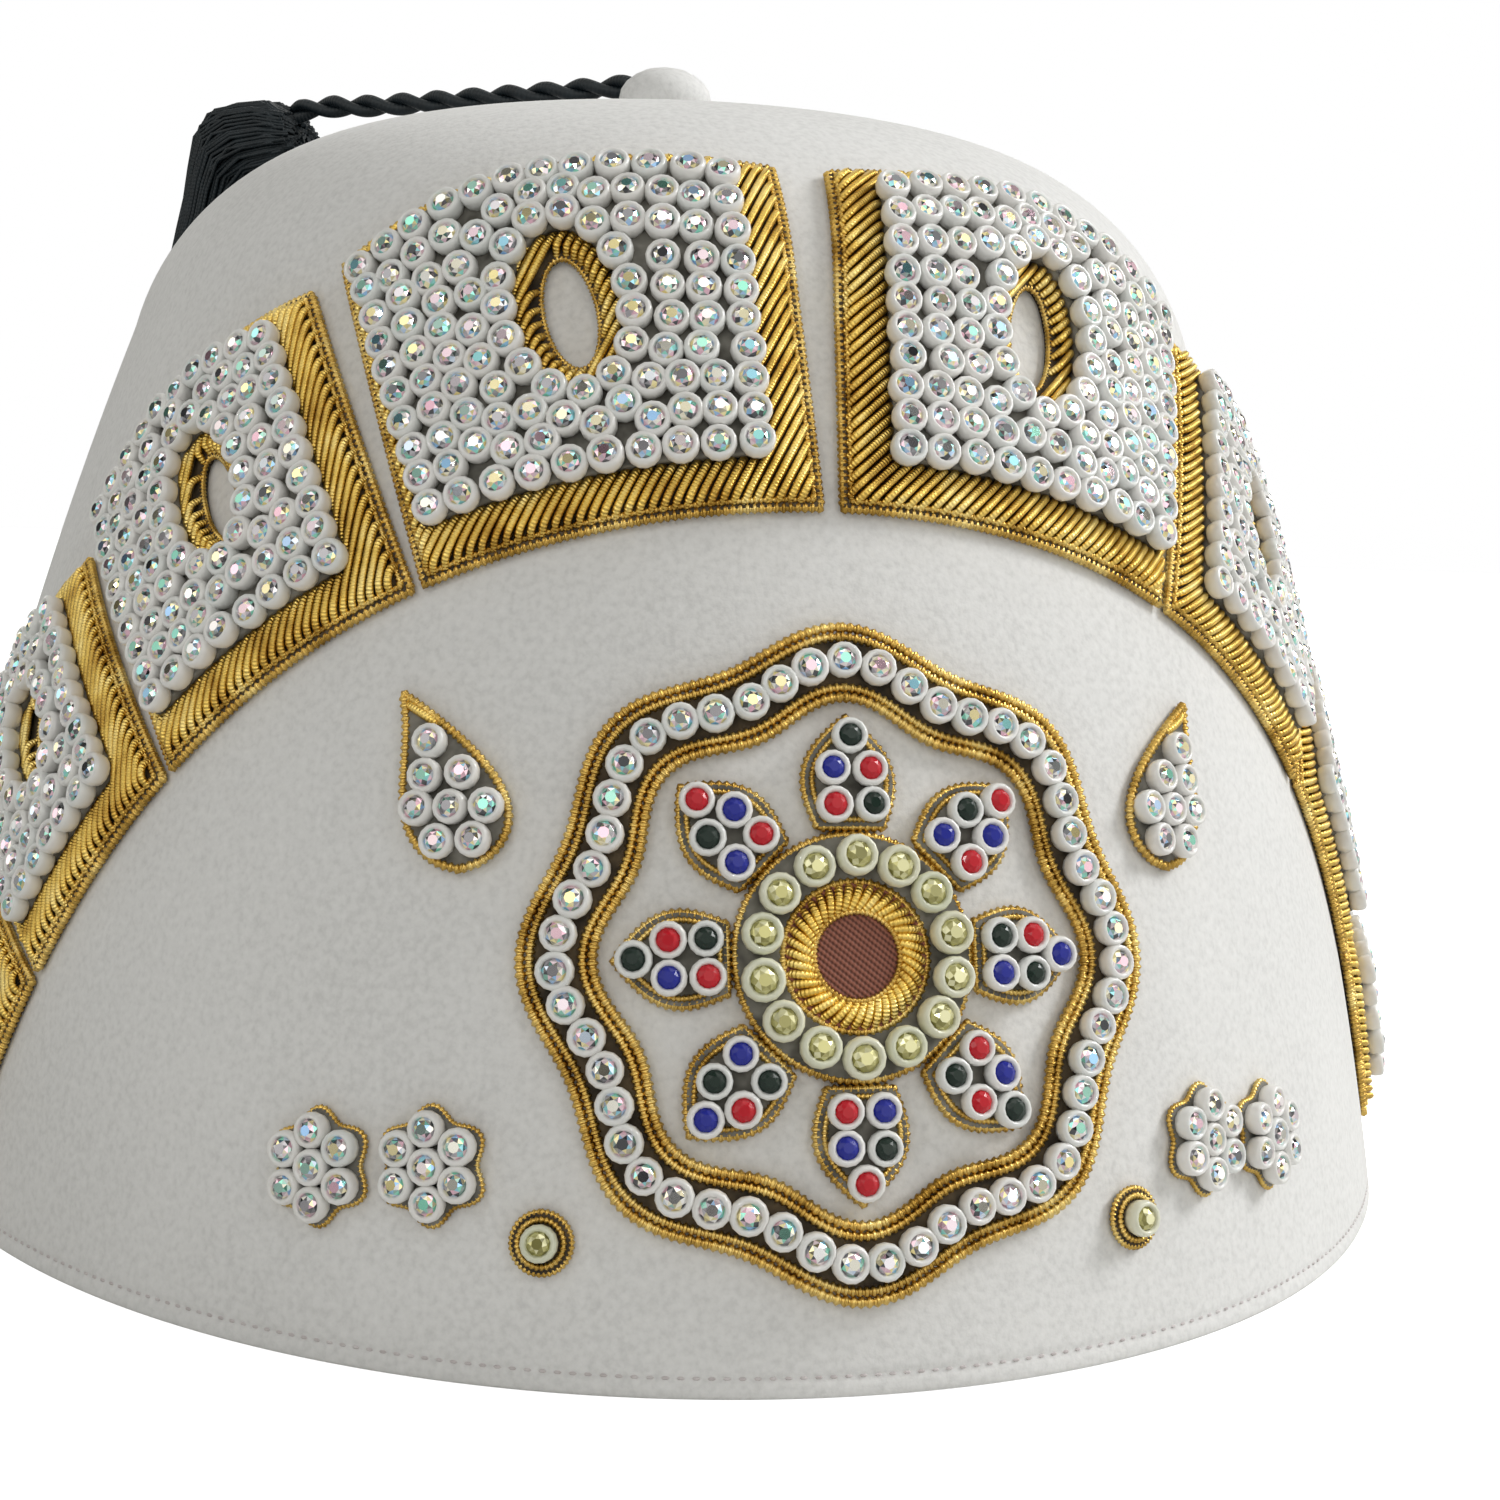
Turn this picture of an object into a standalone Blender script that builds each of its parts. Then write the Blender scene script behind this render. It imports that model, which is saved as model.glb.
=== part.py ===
"""A low oval fez in white felt, with a covered crown button, a twisted cord and tassel, and a raised
ornament of gold work and set stones round its front. The rim lies on z = 0 and the front faces -Y.

The ornament is laid out flat on the unrolled wall: x runs to the right round the hat, y runs up the
wall from the rim and z stands off the felt. wall_point() rolls such a place on to the hat."""

import math

import bmesh
import bpy
import numpy as np
from mathutils import Matrix, Vector

MM = 0.001
GAP = 0.3 * MM

# Felt body: half widths are across the hat, and its length is LENGTH_RATIO times as much
RIM_HALF_WIDTH = 86.0 * MM
TOP_HALF_WIDTH = 56.1 * MM
LENGTH_RATIO = 1.2
CROWN_HEIGHT = 115.0 * MM
SHOULDER_RADIUS = 31.0 * MM
SHOULDER_SWEEP = math.radians(80)
WALL_BOW = 2.6 * MM
CROWN_DOME = 4.0 * MM
FELT_THICKNESS = 3.0 * MM
RIM_TRIM = 6.0 * MM
SIDES_ROUND = 44
WALL_STEPS, SHOULDER_STEPS, DOME_STEPS = 4, 5, 2
FINE = 4  # places of the profile for each of those steps
RIM_CUTTER_WIDTH, RIM_CUTTER_DEPTH = 300.0 * MM, 30.0 * MM
TURN_MERGE = 0.05 * MM
WELD = 0.002 * MM

# Shading is smooth up to these angles
EDGE_ANGLE, LOCK_ANGLE, CORD_ANGLE = 35, 50, 60

# Crown button, turned
BUTTON_PROFILE = (  # radius, height above the crown
    (0.0, 7.7 * MM),
    (2.6 * MM, 7.3 * MM),
    (4.8 * MM, 5.9 * MM),
    (5.6 * MM, 4.0 * MM),
    (5.0 * MM, 2.2 * MM),
    (4.2 * MM, 1.2 * MM),
    (5.0 * MM, 0.0),
    (0.0, 0.0),
)
BUTTON_SIDES = 16

# Cord and tassel, which fall over the left of the back
TASSEL_BEARING = math.radians(-124)
CORD_DIAMETER = 2.9 * MM
CORD_START = 6.0 * MM
CORD_ROUTE = (  # share of the way out from the button, height
    (0.0, 124.7 * MM),
    (0.25, 124.4 * MM),
    (0.5, 124.2 * MM),
    (0.75, 124.1 * MM),
    (1.0, 124.1 * MM),
)
CORD_POINTS = 9
TASSEL_LINE = (  # length up the felt, height off it, half depth, half width
    (121.5 * MM, 8.8 * MM, 5.7 * MM, 6.8 * MM),
    (117.9 * MM, 10.8 * MM, 7.1 * MM, 7.5 * MM),
    (114.1 * MM, 12.4 * MM, 7.3 * MM, 8.0 * MM),
    (108.1 * MM, 7.9 * MM, 5.8 * MM, 8.4 * MM),
    (97.6 * MM, 5.0 * MM, 4.3 * MM, 8.7 * MM),
    (84.0 * MM, 4.7 * MM, 4.2 * MM, 9.0 * MM),
    (68.0 * MM, 4.5 * MM, 4.0 * MM, 9.2 * MM),
    (50.0 * MM, 4.4 * MM, 3.9 * MM, 9.4 * MM),
    (31.0 * MM, 4.3 * MM, 3.8 * MM, 9.6 * MM),
    (12.5 * MM, 4.2 * MM, 3.7 * MM, 9.8 * MM),
)
TASSEL_LOCKS = (  # share of the half width, share of the half depth, start and end on the line
    (-0.74, -0.45, 0.012, 0.965),
    (-0.25, -0.47, 0.006, 0.985),
    (0.25, -0.46, 0.009, 1.0),
    (0.74, -0.44, 0.015, 0.97),
    (-0.52, 0.44, 0.007, 0.975),
    (0.02, 0.5, 0.0, 0.99),
    (0.52, 0.45, 0.010, 0.96),
)
TOP_LOCK = 5
LOCK_POINTS = 9
LOCK_UNIT = 2.0  # a tube of half thickness 1, which each point's size then sets
LOCK_SHARE = 0.52  # half thickness of a lock against the half depth

# Arch of raised tiles, about a centre below the rim on the unrolled wall
ARCH_CENTRE = -43.0 * MM
ARCH_INNER_RADIUS = 118.0 * MM
TILE_SCALLOP = 2.6 * MM
TILE_TOP_TAPER = 1.4 * MM
TILE_ARC_STEPS = 4
WINDOW_STEPS = 3
BORDER_HEIGHT = 1.8 * MM
FIELD_HEIGHT = 4.0 * MM
BROAD_BORDER = 4.2 * MM
NARROW_BORDER = 1.5 * MM
WINDOW_BORDER = 2.4 * MM
TILES = (  # start and end angle, height, window half width and half height
    (0.5, 18.0, 36.5 * MM, 2.6 * MM, 5.6 * MM),
    (18.7, 33.4, 36.0 * MM, 2.3 * MM, 5.2 * MM),
    (34.1, 46.2, 35.0 * MM, 2.0 * MM, 4.6 * MM),
    (46.9, 57.0, 34.0 * MM, 1.7 * MM, 4.0 * MM),
)

# Flat pieces are sliced here so that they can bend: closer together where the shoulder turns in
ACROSS_SLICES = tuple(13.0 * MM * i for i in range(-10, 11))
UP_SLICES = tuple(16.0 * MM * i for i in range(1, 6)) + tuple((84.0 + 5.0 * i) * MM for i in range(6))
SLICE_MARGIN = 1.0 * MM

# Medallion below the arch
MEDALLION_CENTRE = (0.0, 36.0 * MM)
MEDALLION_SIDES = 16
WREATH_RADIUS = 24.0 * MM
WREATH_LOBES = 8
WREATH_LOBE_DEPTH = 1.1 * MM
WREATH_BAND_HALF = 1.6 * MM
WREATH_CORD_OFFSET = 2.65 * MM
GOLD_CORD_DIAMETER = 1.3 * MM
RING_POINTS = 32
PETALS = 8
PETAL_INNER, PETAL_OUTER = 10.9 * MM, 20.2 * MM
PETAL_HALF_WIDTH = 3.9 * MM
PETAL_FOOT = 0.72  # its width at the foot against the full width
PETAL_SHOULDER = 0.9  # how far up it the sides begin to close
PETAL_POINT = 5  # a higher power gives a blunter tip
PETAL_STEPS = 4
PETAL_STONES = (  # distance from the centre, place across
    (12.6 * MM, -1.6 * MM),
    (12.6 * MM, 1.6 * MM),
    (15.7 * MM, -1.6 * MM),
    (15.7 * MM, 1.6 * MM),
    (18.45 * MM, 0.0),
)
RING_STONES = 14
RING_STONE_RADIUS = 8.3 * MM
RING_INNER, RING_OUTER = 6.5 * MM, 10.1 * MM
HUB_RADIUS = 6.1 * MM
PAD_TOP = 1.1 * MM
HUB_TOP = 1.6 * MM

# A set stone: an eight-sided cup, eight crown facets and a table
STONE_SIDES = 8
CUP_RADIUS = 1.45 * MM
TABLE_RADIUS = 0.62 * MM
CUP_TOP, TABLE_TOP = 2.1 * MM, 2.7 * MM
CUP_SINK = 0.4 * MM

# Small motifs beside the medallion, at the right; the left ones mirror them
FLORETS = ((46.5 * MM, 19.5 * MM), (36.0 * MM, 19.5 * MM))
FLORET_RADIUS = 4.9 * MM
FLORET_LOBE = 0.5 * MM
FLORET_LOBES, FLORET_SIDES = 6, 24
RAISED_HEIGHT = 2.4 * MM
RINGED_STONE = (26.6 * MM, 13.2 * MM)
RINGED_PAD_RADIUS = 2.5 * MM
BOTEH_FOOT = (33.4 * MM, 44.0 * MM)
BOTEH_HEIGHT, BOTEH_BEND = 15.5 * MM, 5.2 * MM
BOTEH_HALF_WIDTH = 4.7 * MM
BOTEH_FULLNESS = 0.62  # a lower power brings the widest place nearer its foot
BOTEH_CURL = 2.4  # a higher power keeps the bend nearer its tip
BOTEH_STEPS = 8

FELT = ("white_felt", (0.83, 0.83, 0.80), 0.95, 0.0)
SILK = ("dark_silk", (0.012, 0.02, 0.028), 0.55, 0.0)
GOLD = ("gold_thread", (0.72, 0.47, 0.10), 0.35, 0.9)
CRYSTAL = ("crystal", (0.80, 0.79, 0.76), 0.15, 0.0)
CUPS = ("stone_cup", (0.86, 0.85, 0.82), 0.3, 0.0)
JEWELS = ("coloured_stone", (0.16, 0.07, 0.30), 0.15, 0.0)
AMBER = ("yellow_stone", (0.72, 0.68, 0.38), 0.15, 0.0)
TWILL = ("brown_twill", (0.28, 0.11, 0.07), 0.85, 0.0)


def hat_profile():
    """The outside of one meridian as (radius, height) from the rim to the middle of the crown."""
    lean = math.atan2(RIM_HALF_WIDTH - TOP_HALF_WIDTH, CROWN_HEIGHT)
    centre_z = CROWN_HEIGHT - SHOULDER_RADIUS
    inset = (SHOULDER_RADIUS + math.sin(lean) * centre_z) / math.cos(lean)
    centre_r = RIM_HALF_WIDTH - inset
    wall_r = centre_r + SHOULDER_RADIUS * math.cos(lean)
    wall_z = centre_z + SHOULDER_RADIUS * math.sin(lean)
    places = []
    for i in range(WALL_STEPS * FINE + 1):
        t = i / (WALL_STEPS * FINE)
        bow = WALL_BOW * 4 * t * (1 - t)
        places.append((RIM_HALF_WIDTH + (wall_r - RIM_HALF_WIDTH) * t + bow, wall_z * t))
    for i in range(1, SHOULDER_STEPS * FINE + 1):
        turn = lean + (SHOULDER_SWEEP - lean) * i / (SHOULDER_STEPS * FINE)
        places.append((centre_r + SHOULDER_RADIUS * math.cos(turn),
                       centre_z + SHOULDER_RADIUS * math.sin(turn)))
    edge_r, edge_z = places[-1]
    for i in range(1, DOME_STEPS * FINE + 1):
        t = i / (DOME_STEPS * FINE)
        places.append((edge_r * (1 - t), edge_z + CROWN_DOME * (1 - (1 - t) ** 2)))
    return places


PROFILE = np.array(hat_profile())
CROWN_TOP = float(PROFILE[-1, 1])
MERIDIAN = np.concatenate([[0.0], np.cumsum(np.hypot(*np.diff(PROFILE, axis=0).T))])
SLOPE = np.gradient(PROFILE, MERIDIAN, axis=0)
CONE_LENGTH = RIM_HALF_WIDTH / math.sin(math.atan2(RIM_HALF_WIDTH - TOP_HALF_WIDTH, CROWN_HEIGHT))

# Length round a unit oval from its front, against the angle
ANGLES = np.linspace(-math.pi, math.pi, 721)
MIDDLES = (ANGLES[1:] + ANGLES[:-1]) / 2
ARC_STEPS = np.hypot(np.cos(MIDDLES), LENGTH_RATIO * np.sin(MIDDLES)) * np.diff(ANGLES)
ARC = np.concatenate([[0.0], np.cumsum(ARC_STEPS)])
ARC -= ARC[len(ARC) // 2]


def hat_point(angle, up, lift):
    """The place at an angle round the hat, a length up the wall, and a height off the felt."""
    radius, height = (float(np.interp(up, MERIDIAN, PROFILE[:, i])) for i in (0, 1))
    slope_r, slope_z = (float(np.interp(up, MERIDIAN, SLOPE[:, i])) for i in (0, 1))
    sine, cosine = math.sin(angle), math.cos(angle)
    out = Vector((LENGTH_RATIO * slope_z * sine, -slope_z * cosine, -LENGTH_RATIO * slope_r)).normalized()
    return Vector((radius * sine, -LENGTH_RATIO * radius * cosine, height)) + out * lift


def wall_point(place):
    """Rolls a place of the unrolled wall on to the hat."""
    reach = math.hypot(place[0], CONE_LENGTH - place[1])
    spread = reach * math.atan2(place[0], CONE_LENGTH - place[1])
    up = CONE_LENGTH - reach
    radius = float(np.interp(up, MERIDIAN, PROFILE[:, 0]))
    return hat_point(float(np.interp(spread / radius, ARC, ANGLES)), up, place[2])


def clear_scene():
    for old in list(bpy.data.objects):
        bpy.data.objects.remove(old, do_unlink=True)


def make_collection(name):
    collection = bpy.data.collections.new(name)
    bpy.context.scene.collection.children.link(collection)
    return collection


def make_material(spec):
    name, colour, roughness, metallic = spec
    if name in bpy.data.materials:
        return bpy.data.materials[name]
    material = bpy.data.materials.new(name)
    material.use_nodes = True
    shader = material.node_tree.nodes["Principled BSDF"]
    shader.inputs["Base Color"].default_value = (*colour, 1.0)
    shader.inputs["Roughness"].default_value = roughness
    shader.inputs["Metallic"].default_value = metallic
    return material


clear_scene()
PARTS = make_collection("fez")
CUTTERS = make_collection("cutters")


def new_object(name, data, collection=None):
    made = bpy.data.objects.new(name, data)
    (collection or PARTS).objects.link(made)
    return made


def evaluated(source, name):
    """A plain mesh of an object with its modifiers and its place in it; the object is removed."""
    bpy.context.view_layer.update()
    mesh = bpy.data.meshes.new_from_object(source.evaluated_get(bpy.context.evaluated_depsgraph_get()))
    mesh.transform(source.matrix_world)
    mesh.name = name
    bpy.data.objects.remove(source, do_unlink=True)
    shape = bmesh.new()
    shape.from_mesh(mesh)
    bmesh.ops.remove_doubles(shape, verts=shape.verts, dist=WELD)
    shape.to_mesh(mesh)
    shape.free()
    return mesh


def finish(mesh, name, spec, angle=EDGE_ANGLE):
    """The finished sub-part: its mesh, its material and smooth shading up to the given edge."""
    mesh.materials.clear()
    mesh.materials.append(make_material(spec))
    mesh.shade_smooth()
    mesh.set_sharp_from_angle(angle=math.radians(angle))
    return new_object(name, mesh)


def combine(name, first, second, operation="UNION"):
    """The union or difference of two closed meshes."""
    body, tool = new_object(name, first), new_object(name + "_tool", second, CUTTERS)
    change = body.modifiers.new(operation.title(), "BOOLEAN")
    change.operation = operation
    change.solver = "EXACT"
    change.object = tool
    mesh = evaluated(body, name)
    bpy.data.objects.remove(tool, do_unlink=True)
    return mesh


def flat_prism(name, outlines, low, high):
    """A flat plate with the given closed outlines; those inside the first are holes."""
    curve = bpy.data.curves.new(name, "CURVE")
    curve.dimensions = "2D"
    curve.fill_mode = "BOTH"
    curve.extrude = (high - low) / 2
    for outline in outlines:
        spline = curve.splines.new("POLY")
        spline.points.add(len(outline) - 1)
        for point, (x, y) in zip(spline.points, outline):
            point.co = (x, y, 0.0, 1.0)
        spline.use_cyclic_u = True
    plate = new_object(name, curve)
    plate.location.z = (low + high) / 2
    return evaluated(plate, name)


def lay_on_wall(mesh, sliced=True):
    """Slices a flat mesh into strips that can bend, and rolls it on to the hat."""
    shape = bmesh.new()
    shape.from_mesh(mesh)
    if sliced:
        for axis, places in enumerate((ACROSS_SLICES, UP_SLICES)):
            values = [vert.co[axis] for vert in shape.verts]
            normal = Vector((1 - axis, axis, 0))
            for place in places:
                if min(values) + SLICE_MARGIN < place < max(values) - SLICE_MARGIN:
                    everything = shape.verts[:] + shape.edges[:] + shape.faces[:]
                    bmesh.ops.bisect_plane(shape, geom=everything, plane_co=normal * place, plane_no=normal)
        bmesh.ops.triangulate(shape, faces=shape.faces)
    for vert in shape.verts:
        vert.co = wall_point(vert.co)
    shape.to_mesh(mesh)
    shape.free()
    return mesh


def tube_mesh(name, points, diameter, closed=False, resolution=1, sizes=None):
    """A round cord along the given points, with filled ends."""
    curve = bpy.data.curves.new(name, "CURVE")
    curve.dimensions = "3D"
    curve.bevel_depth = diameter / 2
    curve.bevel_resolution = resolution
    curve.use_fill_caps = True
    spline = curve.splines.new("POLY")
    spline.points.add(len(points) - 1)
    for point, place in zip(spline.points, points):
        point.co = (*place, 1.0)
    for point, size in zip(spline.points, sizes or ()):
        point.radius = size
    spline.use_cyclic_u = closed
    return evaluated(new_object(name, curve), name)


def smooth_route(points, count):
    """Evenly numbered points of one smooth curve through the given ones."""
    knots = [Vector(point) for point in points]
    ends = [knots[0] * 2 - knots[1], *knots, knots[-1] * 2 - knots[-2]]
    route = []
    for i in range(count):
        s = i / (count - 1) * (len(knots) - 1)
        k = min(int(s), len(knots) - 2)
        t = s - k
        before, start, end, after = ends[k : k + 4]
        slope = (end - before) * t
        bend = (before * 2 - start * 5 + end * 4 - after) * t ** 2
        twist = (start * 3 - before - end * 3 + after) * t ** 3
        route.append((start * 2 + slope + bend + twist) / 2)
    return route


def stone_body(places):
    """Set stones at the given flat places, standing on the felt's padding."""
    shape = bmesh.new()
    low = PAD_TOP - CUP_SINK
    for x, y in places:
        middle = Matrix.Translation((x, y, (low + CUP_TOP) / 2))
        made = bmesh.ops.create_cone(
            shape, cap_ends=True, segments=STONE_SIDES, radius1=CUP_RADIUS, radius2=CUP_RADIUS,
            depth=CUP_TOP - low, matrix=middle)
        faces = {face for vert in made["verts"] for face in vert.link_faces}
        top = max(faces, key=lambda face: face.calc_center_median().z)
        bmesh.ops.inset_individual(shape, faces=[top], thickness=CUP_RADIUS - TABLE_RADIUS)
        for vert in top.verts:
            vert.co.z = TABLE_TOP
    mesh = bpy.data.meshes.new("stones")
    shape.to_mesh(mesh)
    shape.free()
    return mesh


def arch_place(radius, degrees):
    """A flat place at a distance and an angle from the arch's centre."""
    turn = math.radians(degrees)
    return (radius * math.sin(turn), ARCH_CENTRE + radius * math.cos(turn))


def tile_outline(start, end, inner, outer, inset, side):
    """A fan tile with a scalloped top, drawn in by the four insets (start, end, inner, outer)."""
    in_start, in_end, in_low, in_high = inset
    lower, upper = [], []
    for i in range(TILE_ARC_STEPS + 1):
        t = i / TILE_ARC_STEPS
        for radius, row in ((inner + in_low, lower), (outer - in_high, upper)):
            taper = TILE_TOP_TAPER * (radius - inner) / (outer - inner)
            first = start + math.degrees((in_start + taper) / radius)
            last = end - math.degrees((in_end + taper) / radius)
            lift = TILE_SCALLOP * (math.sin(math.pi * t) - 1) if row is upper else 0.0
            x, y = arch_place(radius + lift, first + (last - first) * t)
            row.append((side * x, y))
    return lower + upper[::-1]


def leaf_outline(centre, half_width, half_height, turn, side):
    """A pointed oval window that stands along the arch's radius."""
    turns = [math.pi * i / WINDOW_STEPS for i in range(WINDOW_STEPS + 1)]
    right = [(half_width * math.sin(place), -half_height * math.cos(place)) for place in turns]
    left = [(-x, y) for x, y in right[-2:0:-1]]
    sine, cosine = math.sin(turn), math.cos(turn)
    return [(side * (centre[0] + x * cosine + y * sine), centre[1] - x * sine + y * cosine)
            for x, y in right + left]


def build_tile(name, row, side):
    """One tile: a stepped border round a raised field, with a leaf window through both."""
    start, end, height, half_width, half_height = row
    inner, outer = ARCH_INNER_RADIUS, ARCH_INNER_RADIUS + height
    centre = arch_place(inner + BROAD_BORDER / 2 + height / 2, (start + end) / 2)
    turn = math.radians((start + end) / 2)
    border = tile_outline(start, end, inner, outer, (0.0, 0.0, 0.0, 0.0), side)
    inset = (BROAD_BORDER, NARROW_BORDER, BROAD_BORDER, NARROW_BORDER)
    field = tile_outline(start, end, inner, outer, inset, side)
    window = leaf_outline(centre, half_width, half_height, turn, side)
    opening = leaf_outline(centre, half_width + WINDOW_BORDER, half_height + WINDOW_BORDER, turn, side)
    base = flat_prism(name, [border, window], GAP, BORDER_HEIGHT)
    raised = flat_prism(name + "_field", [field, opening], GAP * 2, FIELD_HEIGHT)
    mesh = combine(name, base, raised)
    finish(lay_on_wall(mesh), name, CRYSTAL)


def wreath_place(turn, offset=0.0):
    """A flat place on the wreath's lobed line, or beside it."""
    radius = WREATH_RADIUS + WREATH_LOBE_DEPTH * math.cos(WREATH_LOBES * turn) + offset
    return (MEDALLION_CENTRE[0] + radius * math.sin(turn), MEDALLION_CENTRE[1] + radius * math.cos(turn))


def round_places(count, place):
    return [place(2 * math.pi * i / count) for i in range(count)]


def polar_place(radius, turn, centre=MEDALLION_CENTRE):
    return (centre[0] + radius * math.sin(turn), centre[1] + radius * math.cos(turn))


def set_stones(name, pad, places, spec):
    """A pad with stones fused to it, rolled on to the hat."""
    body = combine(name, lay_on_wall(pad, sliced=False), lay_on_wall(stone_body(places), sliced=False))
    finish(body, name, spec)


def build_wreath():
    outlines = [round_places(RING_POINTS, lambda turn, offset=offset: wreath_place(turn, offset))
                for offset in (WREATH_BAND_HALF, -WREATH_BAND_HALF)]
    row = flat_prism("wreath_stone_row", outlines, GAP, RAISED_HEIGHT)
    finish(lay_on_wall(row, sliced=False), "wreath_stone_row", CRYSTAL)
    lift = GAP + GOLD_CORD_DIAMETER / 2
    for name, offset in (("outer", WREATH_CORD_OFFSET), ("inner", -WREATH_CORD_OFFSET)):
        name = f"wreath_cord_{name}"
        route = round_places(
            RING_POINTS, lambda turn, offset=offset: wall_point((*wreath_place(turn, offset), lift)))
        finish(tube_mesh(name, route, GOLD_CORD_DIAMETER, closed=True), name, GOLD, CORD_ANGLE)


def petal_outline(turn):
    """A petal that is blunt at its foot and pointed at its tip, turned about the medallion's centre."""
    sine, cosine = math.sin(turn), math.cos(turn)
    right = []
    for i in range(PETAL_STEPS + 1):
        t = i / PETAL_STEPS
        swell = math.sin(math.pi * min(t / PETAL_SHOULDER, 1))
        width = PETAL_HALF_WIDTH * (PETAL_FOOT + (1 - PETAL_FOOT) * swell) * (1 - t ** PETAL_POINT)
        right.append((width, PETAL_INNER + (PETAL_OUTER - PETAL_INNER) * t))
    left = [(-x, y) for x, y in right[-2::-1]]
    return [(MEDALLION_CENTRE[0] + x * cosine + y * sine, MEDALLION_CENTRE[1] - x * sine + y * cosine)
            for x, y in right + left]


def build_rosette():
    for i in range(PETALS):
        turn = 2 * math.pi * i / PETALS
        places = [polar_place(math.hypot(far, across), turn + math.atan2(across, far))
                  for far, across in PETAL_STONES]
        name = f"petal_{i + 1}"
        set_stones(name, flat_prism(name, [petal_outline(turn)], GAP, PAD_TOP), places, JEWELS)
    outer, inner, hub = (round_places(MEDALLION_SIDES, lambda turn, radius=radius: polar_place(radius, turn))
                         for radius in (RING_OUTER, RING_INNER, HUB_RADIUS))
    places = round_places(RING_STONES, lambda turn: polar_place(RING_STONE_RADIUS, turn))
    set_stones("rosette_ring", flat_prism("rosette_ring", [outer, inner], GAP, PAD_TOP), places, AMBER)
    finish(lay_on_wall(flat_prism("rosette_hub", [hub], GAP, HUB_TOP)), "rosette_hub", TWILL)


def build_boteh(name, side):
    """A curved drop, round at its foot, whose tip bends away from the medallion."""
    left, right = [], []
    for i in range(BOTEH_STEPS + 1):
        t = i / BOTEH_STEPS
        half = BOTEH_HALF_WIDTH * math.sin(math.pi * t ** BOTEH_FULLNESS)
        middle = BOTEH_FOOT[0] + BOTEH_BEND * t ** BOTEH_CURL
        y = BOTEH_FOOT[1] + BOTEH_HEIGHT * t
        left.append((side * (middle - half), y))
        right.append((side * (middle + half), y))
    outline = right + left[-2:0:-1]
    finish(lay_on_wall(flat_prism(name, [outline], GAP, RAISED_HEIGHT), sliced=False), name, CUPS)


def build_lone_stone(name, centre, pad_radius, spec):
    """One stone on a round pad of its own."""
    outline = round_places(MEDALLION_SIDES, lambda turn: polar_place(pad_radius, turn, centre))
    set_stones(name, flat_prism(name, [outline], GAP, PAD_TOP), [centre], spec)


def build_small_motifs(side_name, side):
    for number, (x, y) in enumerate(FLORETS, 1):
        name = f"floret_{side_name}_{number}"
        outline = round_places(FLORET_SIDES, lambda turn, x=x, y=y: polar_place(
            FLORET_RADIUS - FLORET_LOBE + FLORET_LOBE * math.cos(FLORET_LOBES * turn), turn, (side * x, y)))
        finish(lay_on_wall(flat_prism(name, [outline], GAP, RAISED_HEIGHT), sliced=False), name, CUPS)
    centre = (side * RINGED_STONE[0], RINGED_STONE[1])
    build_lone_stone(f"ringed_stone_{side_name}", centre, RINGED_PAD_RADIUS, AMBER)


def build_felt_shell():
    """The felt, one wall all over: a turned sheet, made oval, thickened inwards and cut level at the rim."""
    profile = list(PROFILE[::-FINE])
    down = profile[-1] - profile[-2]
    profile.append(profile[-1] + down / np.linalg.norm(down) * RIM_TRIM)
    mesh = bpy.data.meshes.new("felt_shell")
    mesh.from_pydata([(r, 0.0, z) for r, z in profile], [(i, i + 1) for i in range(len(profile) - 1)], [])
    turned = new_object("felt_shell", mesh)
    screw = turned.modifiers.new("Turn", "SCREW")
    screw.steps = screw.render_steps = SIDES_ROUND
    screw.use_merge_vertices = True
    screw.merge_threshold = TURN_MERGE
    turned.scale.y = LENGTH_RATIO
    mesh = evaluated(turned, "felt_shell")
    shell = finish(mesh, "felt_shell", FELT)
    wall = shell.modifiers.new("Felt thickness", "SOLIDIFY")
    wall.thickness = FELT_THICKNESS
    wall.offset = -1.0
    wall.use_even_offset = True
    bpy.ops.mesh.primitive_cube_add(size=1.0)
    cutter = bpy.context.object
    cutter.name = "rim_cutter"
    cutter.scale = (RIM_CUTTER_WIDTH, RIM_CUTTER_WIDTH, RIM_CUTTER_DEPTH)
    cutter.location.z = -RIM_CUTTER_DEPTH / 2
    for other in cutter.users_collection:
        other.objects.unlink(cutter)
    CUTTERS.objects.link(cutter)
    cutter.hide_render = True
    cutter.display_type = "WIRE"
    trim = shell.modifiers.new("Level rim", "BOOLEAN")
    trim.operation = "DIFFERENCE"
    trim.solver = "EXACT"
    trim.object = cutter


def build_button():
    mesh = bpy.data.meshes.new("crown_button")
    seat = CROWN_TOP + GAP
    mesh.from_pydata([(r, 0.0, seat + z) for r, z in BUTTON_PROFILE],
                     [(i, i + 1) for i in range(len(BUTTON_PROFILE) - 1)], [])
    turned = new_object("crown_button", mesh)
    screw = turned.modifiers.new("Turn", "SCREW")
    screw.steps = screw.render_steps = BUTTON_SIDES
    screw.use_merge_vertices = True
    screw.merge_threshold = TURN_MERGE
    finish(evaluated(turned, "crown_button"), "crown_button", FELT)


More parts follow.
